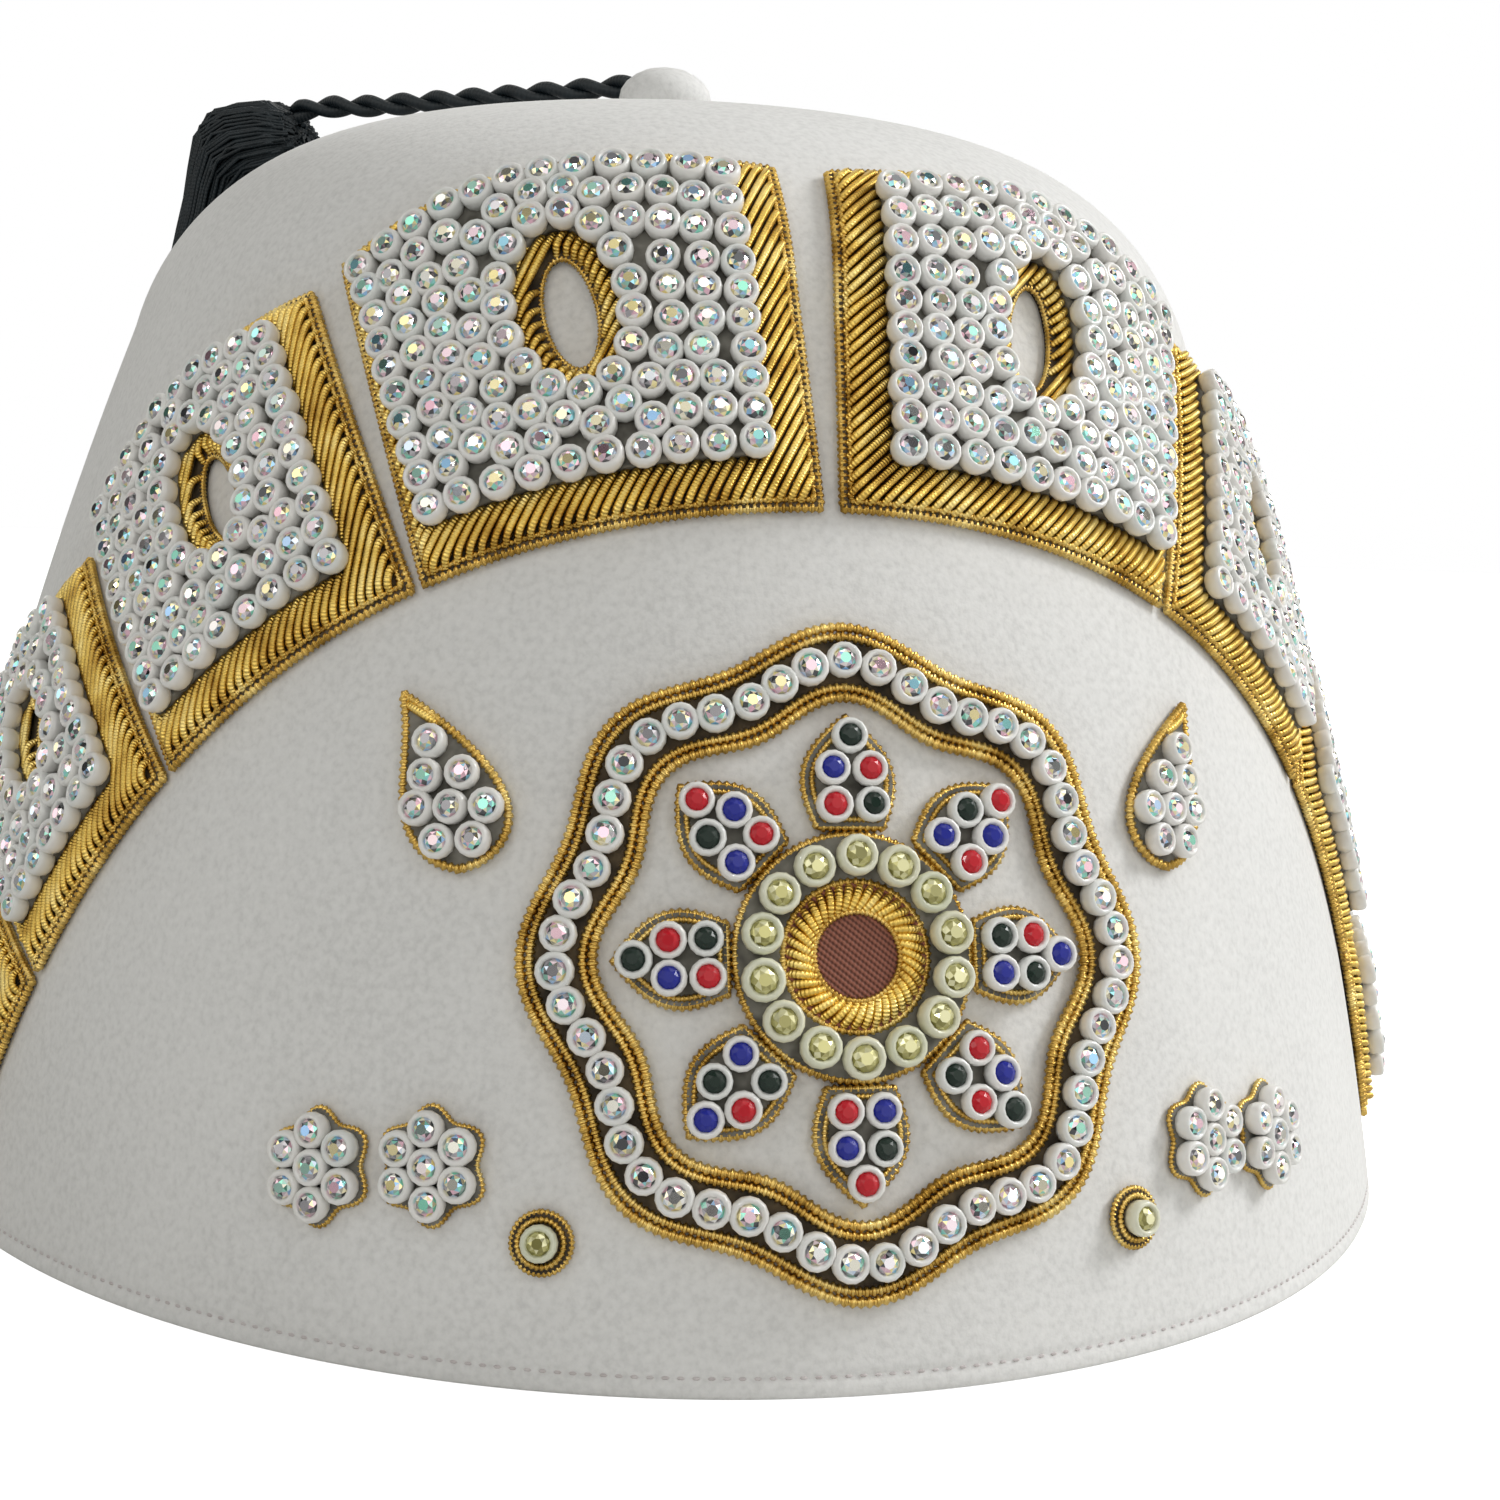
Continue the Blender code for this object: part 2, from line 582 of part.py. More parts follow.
def tassel_route(wide, deep, first, last):
    """Places along one lock of the tassel, and its half thickness at each."""
    across = Vector((math.cos(TASSEL_BEARING), LENGTH_RATIO * math.sin(TASSEL_BEARING), 0.0)).normalized()
    table = smooth_route(TASSEL_LINE, LOCK_POINTS * FINE)
    route, sizes = [], []
    for i in range(LOCK_POINTS):
        s = (first + (last - first) * i / (LOCK_POINTS - 1)) * (len(table) - 1)
        k = min(int(s), len(table) - 2)
        up, lift, half_depth, half_width = table[k].lerp(table[k + 1], s - k)
        middle = hat_point(TASSEL_BEARING, up, lift + half_depth * deep)
        route.append(middle + across * (half_width * wide))
        sizes.append(half_depth * LOCK_SHARE)
    return route, sizes


def build_tassel():
    """Locks of silk that run out from the cord, over the shoulder and down the wall, fused into one body."""
    body = None
    for row in TASSEL_LOCKS:
        route, sizes = tassel_route(*row)
        lock = tube_mesh("tassel", route, LOCK_UNIT, sizes=sizes)
        body = lock if body is None else combine("tassel", body, lock)
    finish(body, "tassel", SILK, LOCK_ANGLE)


def build_cord():
    """The cord runs level from the button to the top lock of the tassel."""
    end = tassel_route(*TASSEL_LOCKS[TOP_LOCK])[0][0]
    out = Vector((end.x, end.y, 0.0)).normalized()
    reach = end.xy.length - GAP - CORD_START
    route = [out * (CORD_START + reach * share) + Vector((0, 0, height)) for share, height in CORD_ROUTE]
    cord = tube_mesh("tassel_cord", smooth_route(route, CORD_POINTS), CORD_DIAMETER, resolution=2)
    finish(cord, "tassel_cord", SILK)


build_felt_shell()
build_button()
build_cord()
build_tassel()
for side_name, side in (("left", -1), ("right", 1)):
    for number, row in enumerate(TILES, 1):
        build_tile(f"arch_tile_{side_name}_{number}", row, side)
    build_boteh(f"boteh_{side_name}", side)
    build_small_motifs(side_name, side)
build_wreath()
build_rosette()
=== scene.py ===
import math

import bmesh
import bpy
import numpy as np
from mathutils import Matrix, Vector


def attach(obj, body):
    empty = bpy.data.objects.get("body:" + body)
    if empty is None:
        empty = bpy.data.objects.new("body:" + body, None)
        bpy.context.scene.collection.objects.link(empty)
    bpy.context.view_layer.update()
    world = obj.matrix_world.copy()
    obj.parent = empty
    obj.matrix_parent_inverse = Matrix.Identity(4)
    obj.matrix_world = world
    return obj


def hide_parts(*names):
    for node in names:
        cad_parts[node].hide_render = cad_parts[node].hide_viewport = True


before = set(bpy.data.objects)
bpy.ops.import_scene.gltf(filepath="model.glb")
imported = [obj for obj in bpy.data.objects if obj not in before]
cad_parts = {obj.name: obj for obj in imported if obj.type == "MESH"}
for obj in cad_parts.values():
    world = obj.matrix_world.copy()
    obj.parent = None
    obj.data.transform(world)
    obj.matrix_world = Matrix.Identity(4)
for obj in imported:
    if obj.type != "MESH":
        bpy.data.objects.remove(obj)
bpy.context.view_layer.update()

# A low oval fez in white felt. This dresses the solids of part.py: fine felt, set stones in white
# cups, gold purl and pearl wire over padding, a laid silk cord and a tassel of threads.
MM = 0.001
TURN = 2 * math.pi
chance = np.random.default_rng(57)

# Felt body, as in part.py
RIM_HALF_WIDTH, TOP_HALF_WIDTH = 86.0 * MM, 56.1 * MM
LENGTH_RATIO = 1.2
CROWN_HEIGHT = 115.0 * MM
SHOULDER_RADIUS = 31.0 * MM
SHOULDER_SWEEP = math.radians(80)
WALL_BOW = 2.6 * MM
CROWN_DOME = 4.0 * MM
FELT_THICKNESS = 3.0 * MM
PROFILE_STEPS = 96
FELT_ROWS, FELT_SIDES = 110, 288

# Rim and hem: (length up the felt, height off it) in mm, and the groove in which the stitches lie
RIM_OUTSIDE = ((0.0, -0.55), (0.12, -0.2), (0.4, -0.03))
RIM_INSIDE = ((0.0, -1.5), (0.0, -2.5), (0.4, -2.95))
HEM_LOW, HEM_HIGH, HEM_ROWS, BODY_LOW = 0.8 * MM, 4.4 * MM, 13, 6.0 * MM
HEM_HEIGHT, HEM_GROOVE, HEM_GROOVE_HALF = 1.8 * MM, 0.22 * MM, 0.35 * MM
HEM_STITCH_PITCH, HEM_STITCH_SINK, HEM_POINTS = 1.27 * MM, 0.16 * MM, 720
STITCH_PROFILE = ((0.0, 0.16), (0.1, 0.12), (0.16, 0.0), (0.1, -0.12), (0.0, -0.16))
STITCH_STRETCH, STITCH_SIDES = (2.2, 1.0, 0.8, 1.0), 6

# Knob: radius and height above its foot
KNOB_PROFILE = (
    (0.0, 7.7), (1.2, 7.62), (2.6, 7.3), (3.8, 6.7), (4.8, 5.9), (5.4, 5.0), (5.6, 4.0), (5.4, 3.0),
    (5.0, 2.2), (4.5, 1.5), (4.2, 1.1), (4.3, 0.7), (4.7, 0.35), (5.0, 0.0), (0.0, 0.0),
)
KNOB_FOOT, KNOB_SIDES = 0.3 * MM, 40

# Cord and tassel, as in part.py
TASSEL_BEARING = math.radians(-124)
CORD_START = 6.0 * MM
CORD_ROUTE = ((0.0, 124.7), (0.25, 124.4), (0.5, 124.2), (0.75, 124.1), (1.0, 124.1))  # share out, height
CORD_PLIES, CORD_LAY = 2, 10.6 * MM
CORD_IN_TASSEL, CORD_POINTS_IN_TASSEL = (0.08, 0.78), 7  # shares of the tassel's length
PLY_OFFSET, PLY_HALF, PLY_STEP, PLY_SIDES = 0.7 * MM, 0.75 * MM, 0.35 * MM, 12
CORD_IN_KNOB, CORD_POINTS = 2.0 * MM, 110
TASSEL_LINE = (  # length up the felt, height off it, half depth, half width
    (121.5, 8.8, 5.7, 6.8),
    (117.9, 10.8, 7.1, 7.5),
    (114.1, 12.4, 7.3, 8.0),
    (108.1, 7.9, 5.8, 8.4),
    (97.6, 5.0, 4.3, 8.7),
    (84.0, 4.7, 4.2, 9.0),
    (68.0, 4.5, 4.0, 9.2),
    (50.0, 4.4, 3.9, 9.4),
    (31.0, 4.3, 3.8, 9.6),
    (12.5, 4.2, 3.7, 9.8),
)
THREAD_LAYERS = ((0.97, 120), (0.86, 90), (0.6, 60), (0.3, 30))  # share of the bundle's size, threads
THREAD_HALF, THREAD_STEP, THREAD_SIDES = 0.27 * MM, 4.0 * MM, 5
THREAD_POINTS = 34
THREAD_WANDER, THREAD_WAVES = 0.035, (4, 9)
THREAD_STARTS, THREAD_ENDS = (0, 0.012), (0.955, 1.0)  # shares of the length
HEAD_ROUNDING = 0.018  # share of the length
CORE_SIZE, CORE_SIDES, CORE_STEPS, CORE_SHARES = 0.8, 20, 40, (0.02, 0.95)
TASSEL_ROWS = 160

# Arch of tiles, as in part.py: start and end angle, height, window half width and half height
ARCH_CENTRE, ARCH_INNER_RADIUS = -43.0, 118.0
TILE_SCALLOP, TILE_TOP_TAPER = 2.6, 1.4
TILES = (
    (0.5, 18.0, 36.5, 2.6, 5.6),
    (18.7, 33.4, 36.0, 2.3, 5.2),
    (34.1, 46.2, 35.0, 2.0, 4.6),
    (46.9, 57.0, 34.0, 1.7, 4.0),
)
BROAD_BORDER, NARROW_BORDER, WINDOW_BORDER = 4.2, 1.5, 2.4
ARC_STEPS, LEAF_STEPS = 14, 10

# Padding and gold: heights off the felt, then purls, wires and their heights
PAD_FOOT, BORDER_PAD, FIELD_PAD, FIELD_LAP = 0.15, 0.95, 2.3, 0.3
PLATE_STEP = 3.0  # distance between the cuts that let a plate bend with the wall
PURL_HALF, PURL_STEP, PURL_SPACING = 0.39, 0.55, 0.84
PURL_LOW, PURL_RISE, PURL_POINT_STEP, FEWEST_PURL_POINTS = 0.55, 1.2, 0.7, 5
PURL_HEADING = math.radians(52)
SHORTEST_PURL, FULL_RISE_LENGTH = 0.9, 2.5
WIRE_REACH, WIRE_SIDES = 1.5, 6  # longest flat step of a wire
PEARL_HALF, PEARL_PITCH, PEARL_RIPPLE = 0.4, 0.64, 0.3
FINE_PEARL_HALF, FINE_PEARL_PITCH = 0.27, 0.42
EDGE_LIFT, FINE_INSET = 0.62, 0.62
PURL_INSETS = (0.45, 0.5, -0.2, -0.3)  # purl ends from the tile's edge, field, window ring and window

# Stones and their cups: radius and height in mm, and for a stone a share of a facet turned
STONE_PITCH = 3.06
STONE_HALF = 1.6
CUP_PROFILE = (
    (0.0, 1.15), (0.95, 1.2), (1.02, 1.5), (1.12, 1.68), (1.28, 1.76), (1.46, 1.66), (1.58, 1.35),
    (1.58, 0.75), (1.42, 0.2), (1.2, 0.0), (0.0, 0.0),
)
CUT_ROWS = ((0.0, 1.1, 0.0), (1.04, 1.3, 0.0), (1.04, 1.46, 0.0), (0.80, 1.74, 0.5), (0.48, 1.95, 0.0))
CUP_SIDES, CUT_SIDES = 14, 8
STONE_LEAN = 0.07
RING_OVERLAP, ROW_CLEARANCE = 0.7, 1.6  # a window's ring over its border, and the rows off that ring
BROAD_LAP, NARROW_GAP = 0.5, 0.1  # outermost stones over the broad border, and off the narrow one
STONE_WANDER = 0.06
EASING_STEPS, EASING_SHARE = 36, 0.4
GAP_GRID, ROOM_FOR_ONE = 0.35, 2.35  # how closely gaps are looked for, and how wide one takes a stone
TILE_STONE_FOOT = 2.05
LOW_STONE_FOOT = 0.55
PAD_STONE_FOOT = 0.95
LOW_PAD_TOP, HIGH_PAD_TOP = LOW_STONE_FOOT + 0.2, PAD_STONE_FOOT + 0.1

# Medallion and small motifs, as in part.py
MEDALLION = (0.0, 36.0)
WREATH_RADIUS, WREATH_LOBES, WREATH_LOBE_DEPTH = 24.0, 8, 1.1
WREATH_BAND_HALF, WREATH_CORD_OFFSET = 1.6, 2.65
WREATH_PAD_HALF, WREATH_PAD_LOW, WREATH_PAD_TOP = WREATH_BAND_HALF + 0.3, 0.1, LOW_STONE_FOOT + 0.15
WREATH_PAD_POINTS, WREATH_WIRE_POINTS, WREATH_ROW_POINTS, WREATH_WIRE_LIFT = 96, 240, 360, 0.55
WREATH_WIRES = ((-0.42, 0.4, 0.6), (0.42, 0.44, 0.7))  # off the cord's middle, half thickness, pitch
PETALS, PETAL_INNER, PETAL_OUTER, PETAL_HALF_WIDTH = 8, 10.9, 20.2, 3.9
PETAL_FOOT, PETAL_SHOULDER, PETAL_POINT, PETAL_STEPS = 0.72, 0.9, 5, 14
PETAL_FINE_INSET, PETAL_FINE_LIFT = 0.6, 1.05
PETAL_STONES = ((12.6, -1.6), (12.6, 1.6), (15.7, -1.6), (15.7, 1.6), (18.45, 0.0))
RING_STONES, RING_STONE_RADIUS, RING_INNER, RING_OUTER = 14, 8.3, 6.5, 10.1
HUB_RADIUS, TWILL_RADIUS, TWILL_TOP = 6.1, 3.7, 1.1
HUB_RAYS, RAY_LEAN = 40, 0.25
FLORETS = ((46.5, 19.5), (36.0, 19.5))
FLORET_RADIUS, FLORET_LOBE, FLORET_LOBES = 4.9, 0.5, 6
RINGED_STONE, RINGED_PAD_RADIUS, RINGED_WIRE_STEP = (26.6, 13.2), 2.5, 0.58
CIRCLE_POINTS, FLORET_POINTS, RINGED_POINTS = 72, 60, 40
BOTEH_FOOT, BOTEH_HEIGHT, BOTEH_BEND, BOTEH_HALF_WIDTH = (33.4, 44.0), 15.5, 5.2, 4.7
BOTEH_FULLNESS, BOTEH_CURL, BOTEH_TIP, BOTEH_STEPS = 0.62, 2.4, 11.6, 32
BOTEH_STONES = (
    (2.35, -1.65), (2.35, 1.65), (5.2, -3.1), (5.2, 0.0), (5.2, 3.1), (8.05, -1.65), (8.05, 1.65),
    (10.9, 0.0),
)
RED, BLUE, GREEN = 1 / 6, 3 / 6, 5 / 6  # a stone's own shade, which its finish reads
BOTEH_SEED, WREATH_SEED, FLORET_SEED, PETAL_SEED, RING_SEED, RINGED_SEED = 25, 31, 35, 41, 43, 55

# The photograph's viewpoint, from the fit of the hat's outline, rim and knob to it
CAMERA_PLACE = (-0.052404, -0.271896, 0.07124)
CAMERA_RIGHT = (0.9721745, -0.23187541, 0.03332473)
CAMERA_UP = (-0.00896158, 0.10534001, 0.99439588)
SENSOR_WIDTH, LENS, NEAREST = 36.0, 53.03, 0.01

# Studio: the floor's half width, the world's light, and the lamps
FLOOR_HALF = 6.0
EVEN_LIGHT, MIRRORED_DARK, MIRRORED_LIGHT = 0.37, 0.05, 1.7
WHITE, WARM, BLACK = (1.0, 1.0, 1.0), (1.0, 0.985, 0.93), (0.0, 0.0, 0.0)
LAMPS = (  # name, place, height that it aims at, size, power
    ("key", (1.1, -0.18, 0.85), 0.05, 0.5, 11.0),
    ("top", (0.1, 0.15, 1.1), 0.05, 0.7, 0.6),
    ("spark_0", (-0.35, -0.9, 0.45), 0.07, 0.06, 0.45),
    ("spark_1", (0.25, -0.8, 0.7), 0.07, 0.06, 0.45),
    ("spark_2", (-0.6, -0.5, 0.6), 0.07, 0.06, 0.45),
)


# The hat's form, and the unrolled wall on which the ornament is laid out

def hat_profile():
    """The outside of one meridian as (radius, height) from the rim to the middle of the crown."""
    lean = math.atan2(RIM_HALF_WIDTH - TOP_HALF_WIDTH, CROWN_HEIGHT)
    centre_z = CROWN_HEIGHT - SHOULDER_RADIUS
    centre_r = RIM_HALF_WIDTH - (SHOULDER_RADIUS + math.sin(lean) * centre_z) / math.cos(lean)
    t = np.linspace(0, 1, PROFILE_STEPS)
    wall_r = RIM_HALF_WIDTH + (centre_r + SHOULDER_RADIUS * math.cos(lean) - RIM_HALF_WIDTH) * t
    wall_z = (centre_z + SHOULDER_RADIUS * math.sin(lean)) * t
    wall = np.stack([wall_r + WALL_BOW * 4 * t * (1 - t), wall_z], 1)
    turn = lean + (SHOULDER_SWEEP - lean) * t
    shoulder = np.stack([centre_r + SHOULDER_RADIUS * np.cos(turn),
                         centre_z + SHOULDER_RADIUS * np.sin(turn)], 1)
    edge_r, edge_z = shoulder[-1]
    dome = np.stack([edge_r * (1 - t), edge_z + CROWN_DOME * (1 - (1 - t) ** 2)], 1)
    return np.concatenate([wall, shoulder[1:], dome[1:]])


PROFILE = hat_profile()
CROWN_TOP = PROFILE[-1, 1]
MERIDIAN = np.concatenate([[0.0], np.cumsum(np.hypot(*np.diff(PROFILE, axis=0).T))])
SLOPE = np.gradient(PROFILE, MERIDIAN, axis=0)
CONE_LENGTH = RIM_HALF_WIDTH / math.sin(math.atan2(RIM_HALF_WIDTH - TOP_HALF_WIDTH, CROWN_HEIGHT))
ANGLES = np.linspace(-math.pi, math.pi, 1441)
MIDDLES = (ANGLES[1:] + ANGLES[:-1]) / 2
ARC_LENGTHS = np.hypot(np.cos(MIDDLES), LENGTH_RATIO * np.sin(MIDDLES)) * np.diff(ANGLES)
ARC = np.concatenate([[0.0], np.cumsum(ARC_LENGTHS)])
ARC -= ARC[len(ARC) // 2]


def on_hat(angle, up, lift=0.0):
    """Places at angles round the hat, lengths up the felt and heights off it, and the way out at each."""
    angle, up, lift = np.broadcast_arrays(*(np.asarray(x, float) for x in (angle, up, lift)))
    radius, height = (np.interp(up, MERIDIAN, PROFILE[:, i]) for i in (0, 1))
    slope_r, slope_z = (np.interp(up, MERIDIAN, SLOPE[:, i]) for i in (0, 1))
    sine, cosine = np.sin(angle), np.cos(angle)
    out = np.stack([LENGTH_RATIO * slope_z * sine, -slope_z * cosine, -LENGTH_RATIO * slope_r], -1)
    out /= np.linalg.norm(out, axis=-1, keepdims=True)
    return np.stack([radius * sine, -LENGTH_RATIO * radius * cosine, height], -1) + out * lift[..., None], out


def on_wall(flat):
    """Rolls flat places (right, up and off the felt, in mm) on to the hat, and gives the way out at each."""
    flat = np.asarray(flat, float).reshape(-1, 3) * MM
    reach = np.hypot(flat[:, 0], CONE_LENGTH - flat[:, 1])
    spread = reach * np.arctan2(flat[:, 0], CONE_LENGTH - flat[:, 1])
    up = CONE_LENGTH - reach
    radius = np.interp(up, MERIDIAN, PROFILE[:, 0])
    return on_hat(np.interp(spread / radius, ARC, ANGLES), up, flat[:, 2])


# Node trees written as calls and expressions

class Output:
    """A node's output; maths written on it adds Math nodes."""

    def __init__(self, graph, socket):
        self.graph, self.socket = graph, socket

    def maths(self, operation, *values):
        return self.graph.node("ShaderNodeMath", {"operation": operation}, values)

    def __add__(self, other):
        return self.maths("ADD", self, other)

    def __sub__(self, other):
        return self.maths("SUBTRACT", self, other)

    def __rsub__(self, other):
        return self.maths("SUBTRACT", other, self)

    def __mul__(self, other):
        return self.maths("MULTIPLY", self, other)

    def __truediv__(self, other):
        return self.maths("DIVIDE", self, other)

    __radd__, __rmul__ = __add__, __mul__

    def sine(self):
        return self.maths("SINE", self)

    def waves(self, length):
        """Waves from 0 to 1, one in each length."""
        return (self * (TURN / length)).sine() * 0.5 + 0.5

    def beside(self, output):
        """Another output of the same node."""
        return Output(self.graph, self.socket.node.outputs[output])


class Graph:
    """A node tree in which one method makes every node."""

    def __init__(self, tree):
        self.tree = tree

    def node(self, kind, settings=None, values=(), output=0):
        made = self.tree.nodes.new(kind)
        for key, value in (settings or {}).items():
            if key == "stops":
                ramp = made.color_ramp
                while len(ramp.elements) < len(value):
                    ramp.elements.new(1.0)
                for stop, (place, colour) in zip(ramp.elements, value):
                    stop.position = place
                    stop.color = (*colour, 1.0)
            elif key == "interpolation":
                made.color_ramp.interpolation = value
            else:
                setattr(made, key, value)
        for key, value in values.items() if isinstance(values, dict) else enumerate(values):
            self.feed(made.inputs[key], value)
        return Output(self, made.outputs[output]) if made.outputs else None

    def feed(self, socket, value):
        if isinstance(value, Output):
            self.tree.links.new(value.socket, socket)
        else:
            socket.default_value = value

    def vector(self, operation, *values):
        return self.node("ShaderNodeVectorMath", {"operation": operation}, values)

    def grown(self, vector, factor):
        return self.node("ShaderNodeVectorMath", {"operation": "SCALE"}, {0: vector, "Scale": factor})

    def mix(self, share, first, second):
        return self.node("ShaderNodeMix", {"data_type": "RGBA"},
                         {0: share, 6: (*first, 1.0), 7: (*second, 1.0)}, output=2)


class Finish(Graph):
    """A material: plain values go on the shader's sockets, and the rest is drawn with nodes."""

    def __init__(self, name, **values):
        self.material = bpy.data.materials.new(name)
        self.material.use_nodes = True
        super().__init__(self.material.node_tree)
        self.sockets = self.tree.nodes["Principled BSDF"].inputs
        for key, value in values.items():
            self.feed(self.sockets[key.replace("_", " ")], value)

    def place(self):
        return self.node("ShaderNodeTexCoord", output=3)

    def facet(self):
        return self.node("ShaderNodeNewGeometry", output=3)

    def attribute(self, name):
        return self.node("ShaderNodeAttribute", {"attribute_name": name}, output=2)

    def noise(self, scale, detail=2.0, vector=None):
        return self.node("ShaderNodeTexNoise", values={
            "Vector": vector or self.place(), "Scale": scale, "Detail": detail})

    def ramp(self, value, *stops, interpolation="LINEAR"):
        """Puts a ramp's colours on the shader."""
        made = self.node("ShaderNodeValToRGB", {"stops": stops, "interpolation": interpolation}, [value])
        self.feed(self.sockets["Base Color"], made)

    def bump(self, height, distance, strength=1.0):
        """A bump whose height runs from 0 to 1 over a distance in metres."""
        self.feed(self.sockets["Normal"], self.node("ShaderNodeBump", values={
            "Height": height, "Distance": distance, "Strength": strength}))


class Maker(Graph):
    """A geometry tree with named inputs, which turns a source mesh into a finished plain one."""

    def __init__(self, name, **inputs):
        tree = bpy.data.node_groups.new(name, "GeometryNodeTree")
        super().__init__(tree)
        self.identifiers = {}
        tree.interface.new_socket("Geometry", in_out="INPUT", socket_type="NodeSocketGeometry")
        tree.interface.new_socket("Geometry", in_out="OUTPUT", socket_type="NodeSocketGeometry")
        for label, kind in inputs.items():
            socket = tree.interface.new_socket(label, in_out="INPUT", socket_type="NodeSocket" + kind)
            self.identifiers[label] = socket.identifier
        entry = self.node("NodeGroupInput").socket.node
        self.given = {socket.name: Output(self, socket) for socket in entry.outputs if socket.name}

    def ends_in(self, geometry):
        self.node("NodeGroupOutput", values=[geometry])
        return self

    def line(self, step):
        """The source's edges as a curve with even steps."""
        curve = self.node("GeometryNodeMeshToCurve", values={"Mesh": self.given["Geometry"]})
        return self.node("GeometryNodeResampleCurve", {"mode": "LENGTH"}, {"Curve": curve, "Length": step})

    def kept(self, curve, along):
        """A curve whose length along it is kept for the finish."""
        return self.node("GeometryNodeStoreNamedAttribute", {"data_type": "FLOAT", "domain": "POINT"},
                         {"Geometry": curve, "Name": "along", "Value": along})

    def stored(self, name, kind):
        return self.node("GeometryNodeInputNamedAttribute", {"data_type": kind}, {"Name": name})

    def swept(self, curve, half):
        """A round, smooth wire on a curve."""
        ring = self.node("GeometryNodeCurvePrimitiveCircle", values={
            "Resolution": self.given["Sides"], "Radius": 1.0})
        wire = self.node("GeometryNodeCurveToMesh", values={
            "Curve": curve, "Profile Curve": ring, "Scale": half, "Fill Caps": True})
        return self.finished(self.node("GeometryNodeSetShadeSmooth", values={"Geometry": wire}), "Finish")

    def placed(self, points, model, finish, **turning):
        """A model on every point."""
        instance = self.node("GeometryNodeObjectInfo", values={"Object": self.given[model]}, output=4)
        copies = self.node("GeometryNodeInstanceOnPoints", values={
            "Points": points, "Instance": instance, **turning})
        return self.finished(copies, finish)

    def finished(self, geometry, finish):
        geometry = self.node("GeometryNodeRealizeInstances", values={"Geometry": geometry})
        return self.node("GeometryNodeSetMaterial", values={
            "Geometry": geometry, "Material": self.given[finish]})

    def make(self, name, source, **inputs):
        """The finished object, with the source mesh used up."""
        source_object = shown(source.name, source)
        change = source_object.modifiers.new(name, "NODES")
        change.node_group = self.tree
        for label, value in inputs.items():
            change[self.identifiers[label]] = value
        return settled(source_object, name)


def shown(name, mesh):
    made = bpy.data.objects.new(name, mesh)
    bpy.context.scene.collection.objects.link(made)
    return made


def settled(source, name):
    """A plain object of what the source's modifiers make; the source is removed."""
    bpy.context.view_layer.update()
    graph = bpy.context.evaluated_depsgraph_get()
    mesh = bpy.data.meshes.new_from_object(source.evaluated_get(graph), preserve_all_data_layers=True,
                                           depsgraph=graph)
    bpy.data.objects.remove(source, do_unlink=True)
    mesh.name = name
    return shown(name, mesh)


def gather(name, parts):
    """Several objects made one, with their materials and attributes."""
    parts = [part for part in parts if part.data.polygons]
    bpy.ops.object.select_all(action="DESELECT")
    for part in parts:
        part.select_set(True)
    bpy.context.view_layer.objects.active = parts[0]
    bpy.ops.object.join()
    parts[0].name = parts[0].data.name = name
    return parts[0]


def fit(piece, slot, *nodes):
    """Puts a finished piece on the hat, and hides the solids that it stands for; its record slot is not used.
    """
    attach(piece, "root")
    if nodes:
        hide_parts(*nodes)
    return piece


# The geometry trees

def wire_maker():
    """Lines become round wire: plain, or closely coiled so that its thickness ripples along it."""
    tree = Maker("Gold wire", Half="Float", Pitch="Float", Ripple="Float", Step="Float", Sides="Int",
                 Finish="Material")
    given = tree.given
    along = tree.node("GeometryNodeSplineParameter", output=1)
    line = tree.kept(tree.line(given["Step"]), along)
    half = given["Half"] * (1 + given["Ripple"] * (along * TURN / given["Pitch"]).sine())
    return tree.ends_in(tree.swept(line, half))


def cord_maker():
    """Plies wind round one line, each a half turn on from the last."""
    tree = Maker("Laid cord", Plies="Int", Lay="Float", Offset="Float", Half="Float", Step="Float",
                 Sides="Int", Finish="Material")
    given = tree.given
    plies = tree.node("GeometryNodeDuplicateElements", {"domain": "SPLINE"}, {
        "Geometry": tree.line(given["Step"]), "Amount": given["Plies"]})
    along = tree.node("GeometryNodeSplineParameter", output=1)
    turn = (along / given["Lay"] + plies.beside(1) / given["Plies"]) * TURN
    normal = tree.node("GeometryNodeInputNormal")
    side = tree.vector("CROSS_PRODUCT", tree.node("GeometryNodeInputTangent"), normal)
    swing = tree.vector("ADD", tree.grown(normal, (turn + math.pi / 2).sine()), tree.grown(side, turn.sine()))
    wound = tree.node("GeometryNodeSetPosition", values={
        "Geometry": tree.kept(plies, along), "Offset": tree.grown(swing, given["Offset"])})
    return tree.ends_in(tree.swept(wound, given["Half"]))


